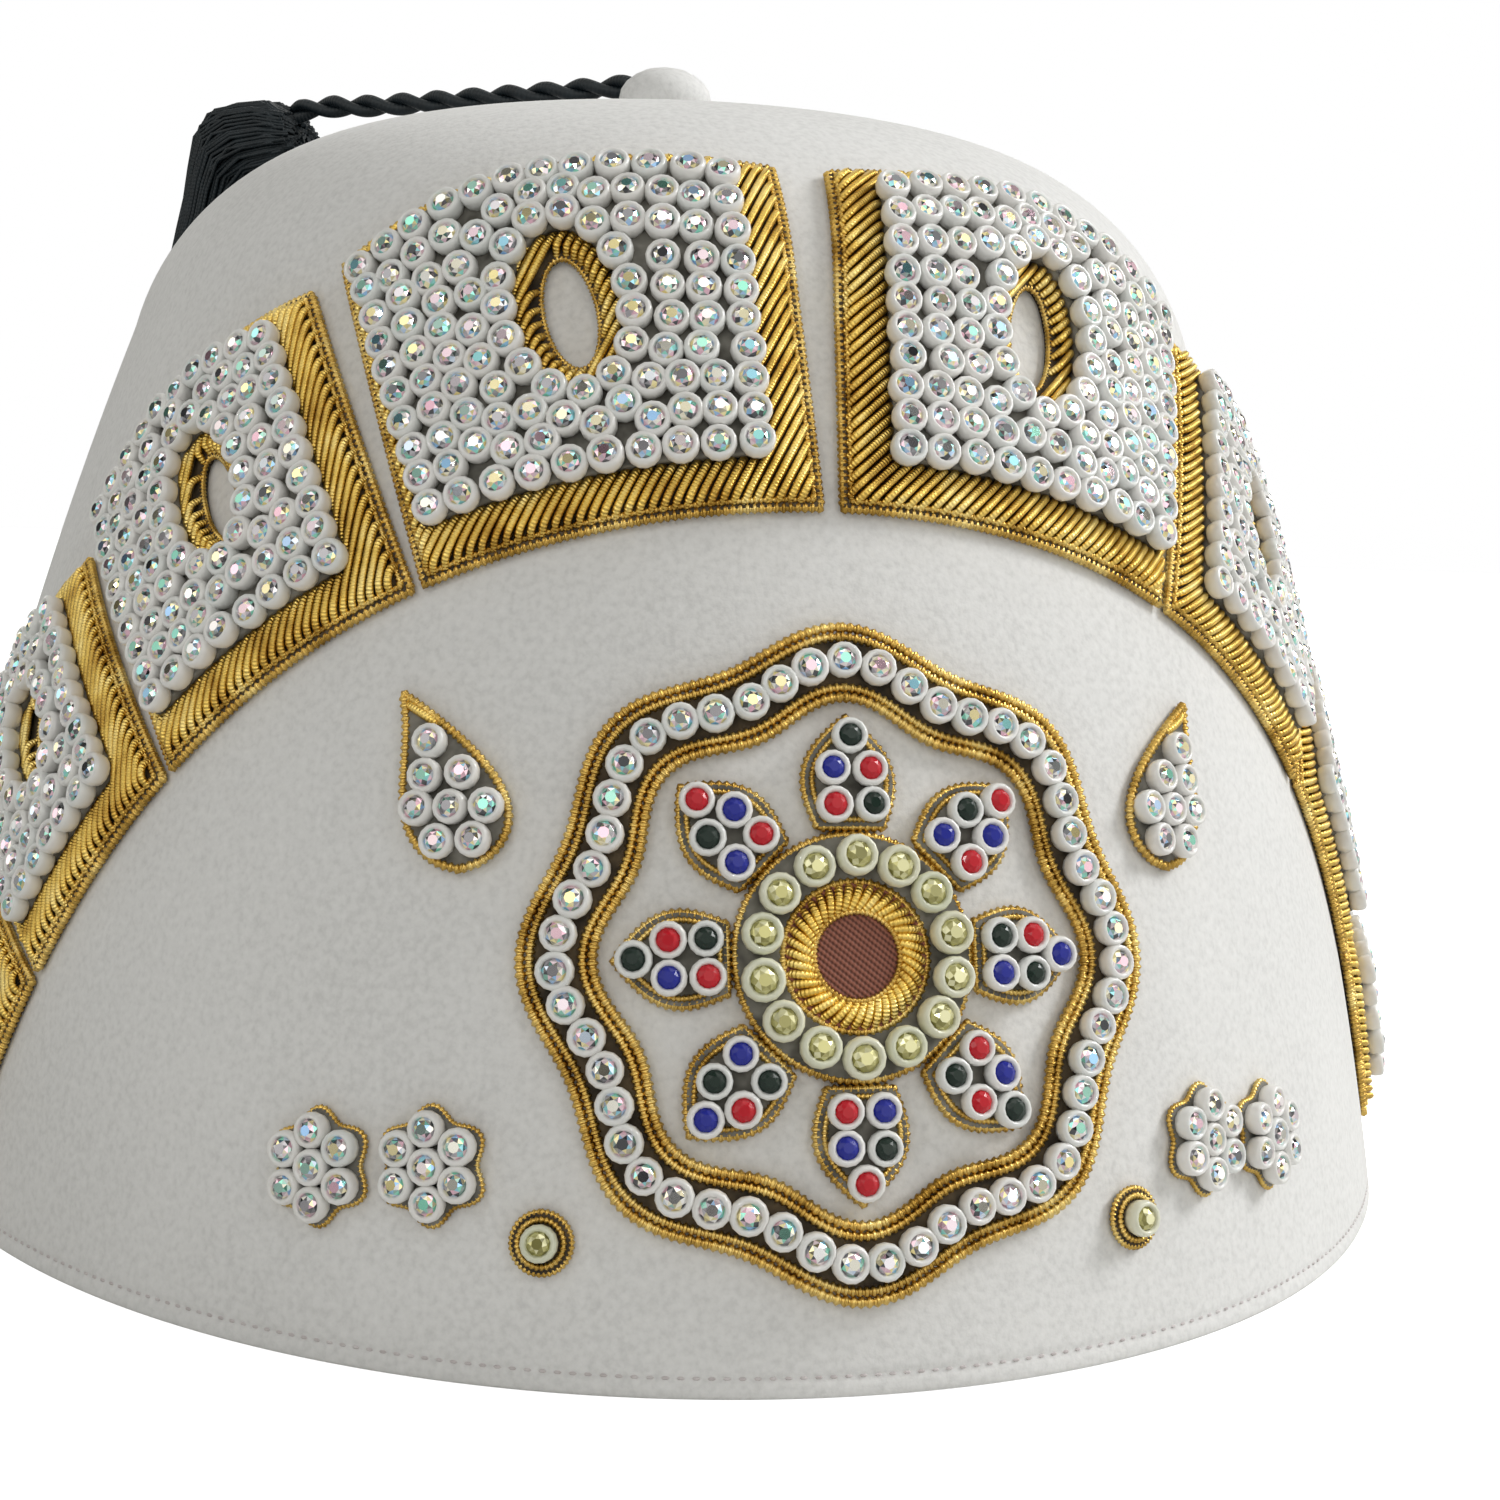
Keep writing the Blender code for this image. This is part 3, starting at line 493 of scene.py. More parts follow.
def stone_maker():
    """A cup and a stone stand on each point, leaned a little and turned by chance."""
    tree = Maker("Set stones", Cup="Object", Stone="Object", Lean="Float", Seed="Int", Cup_finish="Material",
                 Stone_finish="Material")
    given = tree.given
    back, lean = given["Lean"] * -1, given["Lean"]
    stand = tree.node("FunctionNodeAlignRotationToVector", {"axis": "Z"}, {
        "Vector": tree.stored("out", "FLOAT_VECTOR")})
    tilt = tree.node("FunctionNodeRandomValue", {"data_type": "FLOAT_VECTOR"}, {
        0: tree.node("ShaderNodeCombineXYZ", values=[back, back, 0.0]),
        1: tree.node("ShaderNodeCombineXYZ", values=[lean, lean, TURN]), "Seed": given["Seed"]})
    tilt = tree.node("FunctionNodeEulerToRotation", values=[tilt])
    turning = tree.node("FunctionNodeRotateRotation", {"rotation_space": "LOCAL"}, [stand, tilt])
    size = tree.stored("size", "FLOAT")
    joined = tree.node("GeometryNodeJoinGeometry")
    for model in ("Stone", "Cup"):
        tree.feed(joined.socket.node.inputs[0], tree.placed(
            given["Geometry"], model, model + "_finish", Rotation=turning, Scale=size))
    return tree.ends_in(joined)


def stitch_maker():
    """Short stitches follow one another along a line, at an even pitch."""
    tree = Maker("Hem stitches", Pitch="Float", Stitch="Object", Finish="Material")
    stand = tree.node("FunctionNodeAlignRotationToVector", {"axis": "X"}, {
        "Vector": tree.node("GeometryNodeInputTangent")})
    stand = tree.node("FunctionNodeAlignRotationToVector", {"axis": "Z", "pivot_axis": "X"}, {
        "Rotation": stand, "Vector": tree.stored("out", "FLOAT_VECTOR")})
    return tree.ends_in(tree.placed(tree.line(tree.given["Pitch"]), "Stitch", "Finish", Rotation=stand))


# Finishes

def felt_finish():
    finish = Finish("white_felt", Roughness=0.95, Sheen_Weight=0.25, Sheen_Roughness=0.6)
    cloud, nap = finish.noise(45.0, 3.0), finish.noise(1500.0, 3.0)
    finish.ramp(cloud * 0.3 + nap * 0.7,
                (0.3, (0.70, 0.70, 0.69)), (0.5, (0.80, 0.80, 0.79)), (0.7, (0.86, 0.86, 0.85)))
    finish.bump(nap * 0.75 + finish.noise(420.0) * 0.25, 0.16 * MM, 0.55)
    return finish.material


def thread_finish(name, colour, pale):
    """Silk with a fine twist along each thread."""
    finish = Finish(name, Roughness=0.5, Specular_IOR_Level=0.35)
    finish.ramp(finish.noise(700.0), (0.3, colour), (0.75, pale))
    finish.bump(finish.attribute("along").waves(0.5 * MM), 0.06 * MM, 0.6)
    return finish.material


def gold_finish(name, coil, dark, middle, bright):
    """Gold wire, wound so finely that its turns are a ripple along the purl."""
    finish = Finish(name, Metallic=1.0)
    age = finish.noise(260.0, 3.0)
    finish.ramp(age, (0.3, dark), (0.52, middle), (0.75, bright))
    finish.feed(finish.sockets["Roughness"], 0.24 + age * 0.2)
    finish.bump(finish.attribute("along").waves(coil), 0.08 * MM, 0.7)
    return finish.material


def cup_finish(name, *shades):
    finish = Finish(name, Roughness=0.28, Coat_Weight=0.35, IOR=1.5)
    finish.ramp(finish.attribute("glint"), *zip((0.0, 0.5, 1.0), shades))
    return finish.material


def crystal_finish():
    """Foiled clear stones: each facet painted with a reflection, picked by its direction and the stone's
    glint: dark, grey, white or a pale rainbow tint.
    """
    finish = Finish("crystal", Roughness=0.1, Metallic=0.85, Coat_Weight=0.6)
    shift = finish.node("ShaderNodeCombineXYZ", values=[finish.attribute("glint") * 31.0, 0.0, 0.0])
    painted_facet_reflection = finish.noise(1.6, 0.0, finish.vector("ADD", finish.grown(finish.facet(), 3.1), shift))
    # Painted reflections: dark, white and tinted facets by each facet's direction.
    finish.ramp(painted_facet_reflection, (0.30, (0.09, 0.095, 0.105)), (0.39, (0.55, 0.53, 0.57)), (0.44, (0.85, 0.50, 0.62)),
                (0.48, (0.92, 0.92, 0.90)), (0.53, (0.95, 0.82, 0.38)), (0.57, (0.34, 0.35, 0.36)),
                (0.62, (0.30, 0.78, 0.60)), (0.67, (0.32, 0.55, 0.88)), (0.75, (0.95, 0.95, 0.95)))
    return finish.material


def jewel_finish():
    """Red, blue and dark green stones, by each stone's own shade."""
    finish = Finish("coloured_stone", Roughness=0.25, Coat_Weight=0.2, Coat_Roughness=0.05,
                    Specular_IOR_Level=0.3)
    finish.ramp(finish.attribute("glint"), (0.0, (0.56, 0.006, 0.018)), (0.34, (0.01, 0.018, 0.30)),
                (0.67, (0.002, 0.016, 0.009)), interpolation="CONSTANT")
    return finish.material


def amber_finish():
    finish = Finish("yellow_stone", Roughness=0.1, Metallic=0.45, Coat_Weight=0.8)
    # The stone's own yellow, with each facet painted paler or darker by its direction as painted reflections.
    finish.ramp(finish.noise(2.3, 0.0, finish.facet()),
                (0.35, (0.26, 0.24, 0.06)), (0.5, (0.52, 0.49, 0.18)), (0.65, (0.78, 0.76, 0.46)))
    return finish.material


def twill_finish():
    """Brown twill: fine slanted ribs with the dark of the weave between them."""
    finish = Finish("brown_twill", Roughness=0.88, Sheen_Weight=0.2)
    across = finish.node("ShaderNodeSeparateXYZ", values=[finish.place()])
    rise = across.beside(2)
    weave = (across * 0.8 + rise).waves(0.55 * MM) * 0.7 + (across - rise * 0.35).waves(0.38 * MM) * 0.3
    finish.ramp(weave, (0.15, (0.10, 0.03, 0.018)), (0.8, (0.36, 0.13, 0.085)))
    finish.bump(weave, 0.15 * MM, 0.9)
    return finish.material


def padding_finish_with_painted_shade(name, dark, pale):
    # The padding's own brown, made darker partly as painted shade for the gaps between stones and between
    # purls.
    finish = Finish(name, Roughness=0.9)
    finish.ramp(finish.noise(500.0), (0.35, dark), (0.65, pale))
    finish.bump(finish.noise(1200.0), 0.1 * MM, 0.5)
    return finish.material


def floor_finish():
    """White to the camera, and a pale plain floor to the light that it gives back."""
    finish = Finish("pale_floor", Roughness=0.6, Emission_Strength=0.9)
    seen = finish.node("ShaderNodeLightPath")
    finish.feed(finish.sockets["Emission Color"], finish.mix(seen, BLACK, WHITE))
    finish.ramp(finish.noise(3.0), (0.4, (0.72, 0.72, 0.71)), (0.6, (0.76, 0.76, 0.75)))
    return finish.material


FELT, SILK = felt_finish(), thread_finish("dark_silk", (0.002, 0.006, 0.009), (0.007, 0.014, 0.019))
HEM_THREAD = thread_finish("hem_thread", (0.55, 0.5, 0.5), (0.72, 0.68, 0.68))
PURL = gold_finish("gold_purl", 0.3 * MM, (0.46, 0.27, 0.05), (0.76, 0.53, 0.13), (0.92, 0.75, 0.31))
PEARL = gold_finish("gold_pearl_wire", 0.2 * MM, (0.36, 0.205, 0.035), (0.66, 0.44, 0.115),
                    (0.86, 0.69, 0.28))
CUP = cup_finish("white_cup", (0.83, 0.82, 0.79), (0.88, 0.87, 0.85), (0.80, 0.82, 0.80))
AMBER_CUP = cup_finish("yellow_cup", (0.74, 0.73, 0.55), (0.80, 0.80, 0.64), (0.70, 0.72, 0.54))
STONE_FINISHES = {  # by record slot
    "crystal": crystal_finish(), "coloured_stone": jewel_finish(), "yellow_stone": amber_finish(),
}
TWILL = twill_finish()
# Both paddings are painted dark partly as the shade that falls in the gaps between stones and purls.
PADDING_AND_PAINTED_SHADE = padding_finish_with_painted_shade("padding", (0.03, 0.022, 0.013), (0.11, 0.08, 0.045))
# Ground under the stones: its own grey-brown, darkened partly as painted shade between the cups.
STONE_GROUND_AND_PAINTED_SHADE = padding_finish_with_painted_shade("stone_ground", (0.10, 0.095, 0.08), (0.26, 0.25, 0.22))
WIRE, CORD, STONES, STITCHES = wire_maker(), cord_maker(), stone_maker(), stitch_maker()


# Lines, plates, turned shapes and stones

def solid(name, places, faces, finish=None, smooth=True):
    """A closed mesh whose faces point outwards."""
    mesh = bpy.data.meshes.new(name)
    mesh.from_pydata([tuple(place) for place in places], [], faces)
    shape = bmesh.new()
    shape.from_mesh(mesh)
    bmesh.ops.recalc_face_normals(shape, faces=shape.faces)
    shape.to_mesh(mesh)
    shape.free()
    if smooth:
        mesh.shade_smooth()
    if finish:
        mesh.materials.append(finish)
    return mesh


def line_mesh(name, lines, closed=False, outs=None):
    """One mesh of polylines, which a wire, a cord or stitches follow."""
    places, edges = [], []
    for line in lines:
        first = len(places)
        places.extend(line)
        last = len(places) - 1
        edges.extend((i, i + 1) for i in range(first, last))
        if closed:
            edges.append((last, first))
    mesh = bpy.data.meshes.new(name)
    mesh.from_pydata([tuple(place) for place in places], edges, [])
    if outs is not None:
        mesh.attributes.new("out", "FLOAT_VECTOR", "POINT").data.foreach_set("vector", np.ravel(outs))
    return mesh


def finer(line, closed):
    """A line with places added, so that it bends with the wall between its corners."""
    corners = np.asarray(line, float)
    ends = np.concatenate([corners, corners[:1]]) if closed else corners
    made = [ends[:1]]
    for start, end in zip(ends, ends[1:]):
        count = max(1, math.ceil(math.dist(start, end) / WIRE_REACH))
        made.append(start + (end - start) * (np.arange(1, count + 1) / count)[:, None])
    places = np.concatenate(made)
    return places[:-1] if closed else places


def wire_along(name, lines, half, finish, pitch, ripple, step, closed):
    """Wire laid along flat lines on the wall."""
    mesh = line_mesh(name, [on_wall(finer(line, closed))[0] for line in lines], closed)
    return WIRE.make(name, mesh, Half=half * MM, Pitch=pitch * MM, Ripple=ripple, Step=step * MM,
                     Sides=WIRE_SIDES, Finish=finish)


def pearl_edge(name, outline, lift=EDGE_LIFT, half=PEARL_HALF, pitch=PEARL_PITCH):
    """Beaded wire round an outline, at a height off the felt."""
    line = [(x, y, lift) for x, y in outline]
    return wire_along(name, [line], half, PEARL, pitch, PEARL_RIPPLE, pitch / 4, True)


def fine_edge(name, outline, lift):
    return pearl_edge(name, outline, lift, FINE_PEARL_HALF, FINE_PEARL_PITCH)


def purl_line(start, end, low=PURL_LOW, rise=PURL_RISE):
    """One cut of purl that arches over the padding from its start to its end."""
    length = math.dist(start, end)
    start, end = np.asarray(start), np.asarray(end)
    line = []
    for t in np.linspace(0, 1, max(FEWEST_PURL_POINTS, round(length / PURL_POINT_STEP))):
        swell = math.sqrt(max(0.0, 1 - (2 * t - 1) ** 4)) * min(1.0, length / FULL_RISE_LENGTH)
        line.append((*(start + (end - start) * t), low + rise * swell))
    return line


def purls(name, lines):
    return wire_along(name, lines, PURL_HALF, PURL, 1.0, 0.0, PURL_STEP, False)


def hatched(loops, heading, spacing=PURL_SPACING):
    """Straight lines at a heading over the space between nested loops: even and odd crossings pair up."""
    along = np.array([math.cos(heading), math.sin(heading)])
    across = np.array([-along[1], along[0]])
    starts = np.concatenate([np.asarray(loop, float) for loop in loops])
    ends = np.concatenate([np.roll(np.asarray(loop, float), -1, axis=0) for loop in loops])
    a, b, u, v = starts @ across, ends @ across, starts @ along, ends @ along
    lines = []
    for row in np.arange(a.min() + spacing / 2, a.max(), spacing):
        cut = (a > row) != (b > row)
        hits = np.sort(u[cut] + (v[cut] - u[cut]) * (row - a[cut]) / (b[cut] - a[cut]))
        for first, last in zip(hits[::2], hits[1::2]):
            if last - first > SHORTEST_PURL:
                lines.append((along * first + across * row, along * last + across * row))
    return lines


def drawn_in(outline, inset):
    """A closed outline moved inwards, or outwards for a negative inset, along its corners' middles."""
    points = np.asarray(outline, float)
    before, after = points - np.roll(points, 1, 0), np.roll(points, -1, 0) - points
    before /= np.linalg.norm(before, axis=1, keepdims=True)
    after /= np.linalg.norm(after, axis=1, keepdims=True)
    area = np.sum(points[:, 0] * np.roll(points[:, 1], -1) - np.roll(points[:, 0], -1) * points[:, 1])
    normal = np.stack([-(before + after)[:, 1], (before + after)[:, 0]], 1)
    normal /= np.linalg.norm(normal, axis=1, keepdims=True)
    turn = np.clip(np.sum(normal * np.stack([-before[:, 1], before[:, 0]], 1), axis=1), 0.5, 1.0)
    return points + normal * (inset * np.sign(area) / turn)[:, None]


def plate(name, outlines, high, finish, low=PAD_FOOT):
    """A flat plate with the given outlines, its later ones holes, sliced and rolled on to the wall."""
    curve = bpy.data.curves.new(name, "CURVE")
    curve.dimensions = "2D"
    curve.fill_mode = "BOTH"
    curve.extrude = (high - low) / 2
    for outline in outlines:
        spline = curve.splines.new("POLY")
        spline.points.add(len(outline) - 1)
        for point, (x, y) in zip(spline.points, outline):
            point.co = (x, y, 0.0, 1.0)
        spline.use_cyclic_u = True
    piece = settled(shown(name, curve), name)
    shape = bmesh.new()
    shape.from_mesh(piece.data)
    bmesh.ops.remove_doubles(shape, verts=shape.verts, dist=0.001)
    for axis in (0, 1):
        values = [vert.co[axis] for vert in shape.verts]
        normal = Vector((1 - axis, axis, 0))
        for cut in np.arange(math.floor(min(values)) + PLATE_STEP, max(values), PLATE_STEP):
            bmesh.ops.bisect_plane(shape, geom=shape.verts[:] + shape.edges[:] + shape.faces[:],
                                   plane_co=normal * cut, plane_no=normal)
    bmesh.ops.triangulate(shape, faces=shape.faces)
    middle = (low + high) / 2
    places, _ = on_wall([(vert.co.x, vert.co.y, vert.co.z + middle) for vert in shape.verts])
    for vert, place in zip(shape.verts, places):
        vert.co = place
    shape.to_mesh(piece.data)
    shape.free()
    piece.data.materials.clear()
    piece.data.materials.append(finish)
    return piece


def gold(name, parts, *nodes):
    """Padding or gold work joined and fitted as one piece."""
    return fit(gather(name, parts), "gold_thread", *nodes)


def pad(name, outlines, high, finish, *nodes):
    """Padding from the felt up, fitted as one piece."""
    return fit(plate(name, outlines, high, finish), "gold_thread", *nodes)


def turned_places(profile, sides):
    """A turned shape's places in metres, and each ring's numbers, from rows of radius and height in mm and a
    share of a step by which the ring is turned."""
    places, rings = [], []
    for radius, height, share in profile:
        count = 1 if radius == 0 else sides
        rings.append(range(len(places), len(places) + count))
        for i in range(count):
            turn = TURN * (i + share) / sides
            places.append((radius * MM * math.cos(turn), radius * MM * math.sin(turn), height * MM))
    return places, rings


def turned(name, profile, sides, finish=None, smooth=True):
    """A closed turned mesh from (radius, height) rows in mm whose ends lie on the axis."""
    places, rings = turned_places([(*row, 0.0) for row in profile], sides)
    faces = []
    for upper, lower in zip(rings, rings[1:]):
        for i in range(sides):
            j = (i + 1) % sides
            corners = [ring[k % len(ring)] for ring, k in ((upper, i), (lower, i), (lower, j), (upper, j))]
            faces.append(tuple(dict.fromkeys(corners)))
    return solid(name, places, faces, finish, smooth)


def cut_stone(name):
    """A brilliant: girdle, two turned rows of crown facets and a table, each facet flat."""
    places, (foot, base, girdle, crown, table) = turned_places(CUT_ROWS, CUT_SIDES)
    pairs = [(i, (i + 1) % CUT_SIDES) for i in range(CUT_SIDES)]
    faces = [(base[i], base[j], girdle[j], girdle[i]) for i, j in pairs]
    for i, j in pairs:
        faces += [(girdle[i], girdle[j], crown[i]), (crown[i], girdle[j], crown[j])]
    for i, j in pairs:
        faces += [(crown[i], table[j], table[i]), (crown[i], crown[j], table[j])]
    faces.append(tuple(table))
    faces += [(foot[0], base[j], base[i]) for i, j in pairs]
    return solid(name, places, faces, smooth=False)


CUP_PATTERN = shown("cup_pattern", turned("cup_pattern", CUP_PROFILE, CUP_SIDES))
STONE_PATTERN = shown("stone_pattern", cut_stone("stone_pattern"))


def set_stones(name, places, slot, glints=None, size=1.0, seed=1, cup=CUP):
    """Stones in cups, fitted as one piece, at flat places of the cups' feet (right, up and off the felt)."""
    spots, outs = on_wall(places)
    count = len(spots)
    mesh = bpy.data.meshes.new(name)
    mesh.from_pydata([tuple(spot) for spot in spots], [], [])
    mesh.attributes.new("out", "FLOAT_VECTOR", "POINT").data.foreach_set("vector", outs.ravel())
    sizes = size * chance.uniform(0.97, 1.03, count)
    mesh.attributes.new("size", "FLOAT", "POINT").data.foreach_set("value", sizes)
    shades = chance.uniform(0, 1, count) if glints is None else np.asarray(glints, float)
    mesh.attributes.new("glint", "FLOAT", "POINT").data.foreach_set("value", shades)
    return fit(STONES.make(name, mesh, Cup=CUP_PATTERN, Stone=STONE_PATTERN, Lean=STONE_LEAN, Seed=seed,
                           Cup_finish=cup, Stone_finish=STONE_FINISHES[slot]), slot)


# The felt

def build_felt():
    """The felt in fine rows: outside, level rim, then inside, with a shallow groove at the hem stitches."""
    ups = np.concatenate([np.linspace(HEM_LOW, HEM_HIGH, HEM_ROWS),
                          np.linspace(BODY_LOW, MERIDIAN[-1], FELT_ROWS)])
    outside = [(up * MM, lift * MM) for up, lift in RIM_OUTSIDE]
    outside += [(up, -HEM_GROOVE * math.exp(-((up - HEM_HEIGHT) / HEM_GROOVE_HALF) ** 2)) for up in ups]
    rim = [(up * MM, lift * MM) for up, lift in RIM_INSIDE]
    inside = [(up, -FELT_THICKNESS) for up in (*ups[:HEM_ROWS - 1:4], *ups[HEM_ROWS::2])]
    angles = np.linspace(0, TURN, FELT_SIDES, endpoint=False)
    grid = []
    for up, lift in outside[::-1] + rim + inside:
        place, _ = on_hat(angles, up, lift)
        place[:, 2] = 0.0 if up == 0.0 else np.maximum(place[:, 2], 0.0)
        grid.append(place)
    places = np.concatenate([grid[0][:1], *grid[1:-1], grid[-1][:1]])
    rings = [range(first, first + FELT_SIDES) for first in range(1, len(places) - 1, FELT_SIDES)]
    faces = []
    for i in range(FELT_SIDES):
        j = (i + 1) % FELT_SIDES
        faces.append((0, rings[0][j], rings[0][i]))
        faces.extend((upper[i], upper[j], lower[j], lower[i]) for upper, lower in zip(rings, rings[1:]))
        faces.append((rings[-1][i], rings[-1][j], len(places) - 1))
    fit(shown("felt", solid("felt", places, faces, FELT)), "white_felt", "felt_shell")


def build_hem():
    """A row of small sunk stitches round the hat just above its rim."""
    angles = np.linspace(0, TURN, HEM_POINTS, endpoint=False)
    spots, outs = on_hat(angles, HEM_HEIGHT, -HEM_STITCH_SINK)
    stitch = turned("stitch_pattern", STITCH_PROFILE, STITCH_SIDES, smooth=False)
    stitch.transform(Matrix.Diagonal(STITCH_STRETCH))
    pattern = shown("stitch_pattern", stitch)
    row = STITCHES.make("hem_stitches", line_mesh("hem", [spots], True, outs), Pitch=HEM_STITCH_PITCH,
                        Stitch=pattern, Finish=HEM_THREAD)
    bpy.data.objects.remove(pattern, do_unlink=True)
    fit(row, "white_felt")


def build_knob():
    mesh = turned("knob", KNOB_PROFILE, KNOB_SIDES, FELT)
    mesh.transform(Matrix.Translation((0, 0, CROWN_TOP + KNOB_FOOT)))
    fit(shown("knob", mesh), "white_felt", "crown_button")


# The cord and the tassel

def smooth_table(rows, count):
    """Evenly numbered rows of one smooth curve through the given ones."""
    knots = np.asarray(rows, float)
    ends = np.concatenate([[knots[0] * 2 - knots[1]], knots, [knots[-1] * 2 - knots[-2]]])
    made = []
    for s in np.linspace(0, len(knots) - 1, count):
        k = min(int(s), len(knots) - 2)
        t = s - k
        before, start, end, after = ends[k:k + 4]
        made.append((2 * start + (end - before) * t + (2 * before - 5 * start + 4 * end - after) * t ** 2
                     + (3 * start - before - 3 * end + after) * t ** 3) / 2)
    return np.array(made)


TASSEL_TABLE = smooth_table(TASSEL_LINE, TASSEL_ROWS) * MM
TASSEL_ACROSS = np.array([math.cos(TASSEL_BEARING), LENGTH_RATIO * math.sin(TASSEL_BEARING), 0.0])
TASSEL_ACROSS /= np.linalg.norm(TASSEL_ACROSS)


def in_tassel(shares, wide, deep):
    """Places in the tassel at shares of its length, and at shares of its half width and half depth."""
    rows = np.stack([np.interp(shares, np.linspace(0, 1, len(TASSEL_TABLE)), TASSEL_TABLE[:, i])
                     for i in range(4)], 1)
    closing = np.sqrt(np.clip(1 - np.clip(1 - shares / HEAD_ROUNDING, 0, 1) ** 2, 0.3, 1))
    places, _ = on_hat(TASSEL_BEARING, rows[:, 0], rows[:, 1] + rows[:, 2] * deep * closing)
    return places + TASSEL_ACROSS * (rows[:, 3] * wide * closing)[:, None]


def tassel_core():
    """The dark middle that shows where the threads part."""
    steps = np.linspace(*CORE_SHARES, CORE_STEPS)
    turns = TURN * np.arange(CORE_SIDES) / CORE_SIDES
    sides = [in_tassel(steps, CORE_SIZE * math.cos(turn), CORE_SIZE * math.sin(turn)) for turn in turns]
    places = np.stack(sides, 1).reshape(-1, 3)
    rings = [range(first, first + CORE_SIDES) for first in range(0, len(places), CORE_SIDES)]
    faces = [(upper[i], upper[(i + 1) % CORE_SIDES], lower[(i + 1) % CORE_SIDES], lower[i])
             for upper, lower in zip(rings, rings[1:]) for i in range(CORE_SIDES)]
    faces += [tuple(rings[0])[::-1], tuple(rings[-1])]
    return shown("core", solid("core", places, faces, SILK, False))


def build_tassel():
    """Threads side by side over a dark core, each with a slight wander and its own cut end."""
    shares = np.linspace(0, 1, THREAD_POINTS)
    lines = []
    for size, threads in THREAD_LAYERS:
        for i in range(threads):
            turn = TURN * (i + chance.uniform(-0.3, 0.3)) / threads
            wander = THREAD_WANDER * np.sin(shares * chance.uniform(*THREAD_WAVES) + chance.uniform(0, TURN))
            wide = size * math.cos(turn) * (1 + wander)
            deep = size * math.sin(turn) * (1 + 0.6 * wander)
            end = chance.uniform(*THREAD_ENDS)
            lines.append(in_tassel(chance.uniform(*THREAD_STARTS) + shares * end, wide, deep))
    threads = WIRE.make("threads", line_mesh("threads", lines), Half=THREAD_HALF, Pitch=MM, Ripple=0.0,
                        Step=THREAD_STEP, Sides=THREAD_SIDES, Finish=SILK)
    return fit(gather("tassel_threads", [threads, tassel_core()]), "dark_silk", "tassel")


def build_cord():
    """Two plies laid together run from the knob into the tassel, and on through the upper part of it."""
    top = in_tassel(np.zeros(1), 0.02, 0.5)[0]
    distance = math.hypot(top[0], top[1])
    out, reach = np.array([top[0], top[1], 0.0]) / distance, distance - CORD_START
    upwards = np.array([0, 0, MM])
    rows = [out * (CORD_START - CORD_IN_KNOB) + upwards * CORD_ROUTE[0][1]]
    rows += [out * (CORD_START + reach * share) + upwards * height for share, height in CORD_ROUTE]
    rows.extend(in_tassel(np.linspace(*CORD_IN_TASSEL, CORD_POINTS_IN_TASSEL), 0.0,
                          np.linspace(0.3, 0.0, CORD_POINTS_IN_TASSEL)))
    route = smooth_table(rows, CORD_POINTS)
    cord = CORD.make("silk_cord", line_mesh("cord", [route]), Plies=CORD_PLIES, Lay=CORD_LAY,
                     Offset=PLY_OFFSET, Half=PLY_HALF, Step=PLY_STEP, Sides=PLY_SIDES, Finish=SILK)
    fit(cord, "dark_silk", "tassel_cord")


# The arch of tiles

def arch_place(radius, degrees):
    turn = math.radians(degrees)
    return np.array([radius * math.sin(turn), ARCH_CENTRE + radius * math.cos(turn)])


def tile_span(row, broad, narrow, out):
    """The radius and the two end angles of a tile, inside its borders, at a share of the way out."""
    start, end, height = row[:3]
    low, high = ARCH_INNER_RADIUS + broad, ARCH_INNER_RADIUS + height - narrow
    radius = low + (high - low) * out
    taper = TILE_TOP_TAPER * (radius - ARCH_INNER_RADIUS) / height
    first = start + math.degrees((broad + taper) / radius)
    last = end - math.degrees((narrow + taper) / radius)
    return radius, first, last


def tile_place(row, broad, narrow, side, across, out):
    """A place in a tile at shares of the way across and out; it swells outwards in a low arc."""
    radius, first, last = tile_span(row, broad, narrow, out)
    swell = TILE_SCALLOP * (math.sin(math.pi * across) - 1) * out
    return arch_place(radius + swell, first + (last - first) * across) * (side, 1)


def tile_outline(row, broad, narrow, side):
    shares = np.linspace(0, 1, ARC_STEPS + 1)
    return np.array([tile_place(row, broad, narrow, side, across, out)
                     for out, line in ((0, shares), (1, shares[::-1])) for across in line])


def swung(points, turn, centre):
    """Flat points turned clockwise about their origin, which goes to the centre."""
    return np.array([(centre[0] + x * math.cos(turn) + y * math.sin(turn),
                      centre[1] - x * math.sin(turn) + y * math.cos(turn)) for x, y in points])


def leaf_outline(row, grow, side):
    start, end, height, half_width, half_height = row
    middle = (start + end) / 2
    centre = arch_place(ARCH_INNER_RADIUS + BROAD_BORDER / 2 + height / 2, middle)
    right = [((half_width + grow) * math.sin(turn), -(half_height + grow) * math.cos(turn))
             for turn in np.linspace(0, math.pi, LEAF_STEPS + 1)]
    return swung(right + [(-x, y) for x, y in right[-2:0:-1]], math.radians(middle), centre) * (side, 1)


def evenly(route, pitch):
    """Places at an even pitch round a closed route."""
    closed = np.concatenate([route, route[:1]])
    length = np.concatenate([[0.0], np.cumsum(np.linalg.norm(np.diff(closed, axis=0), axis=1))])
    count = round(length[-1] / pitch)
    at = np.arange(count) * length[-1] / count
    return np.stack([np.interp(at, length, closed[:, i]) for i in (0, 1)], 1)


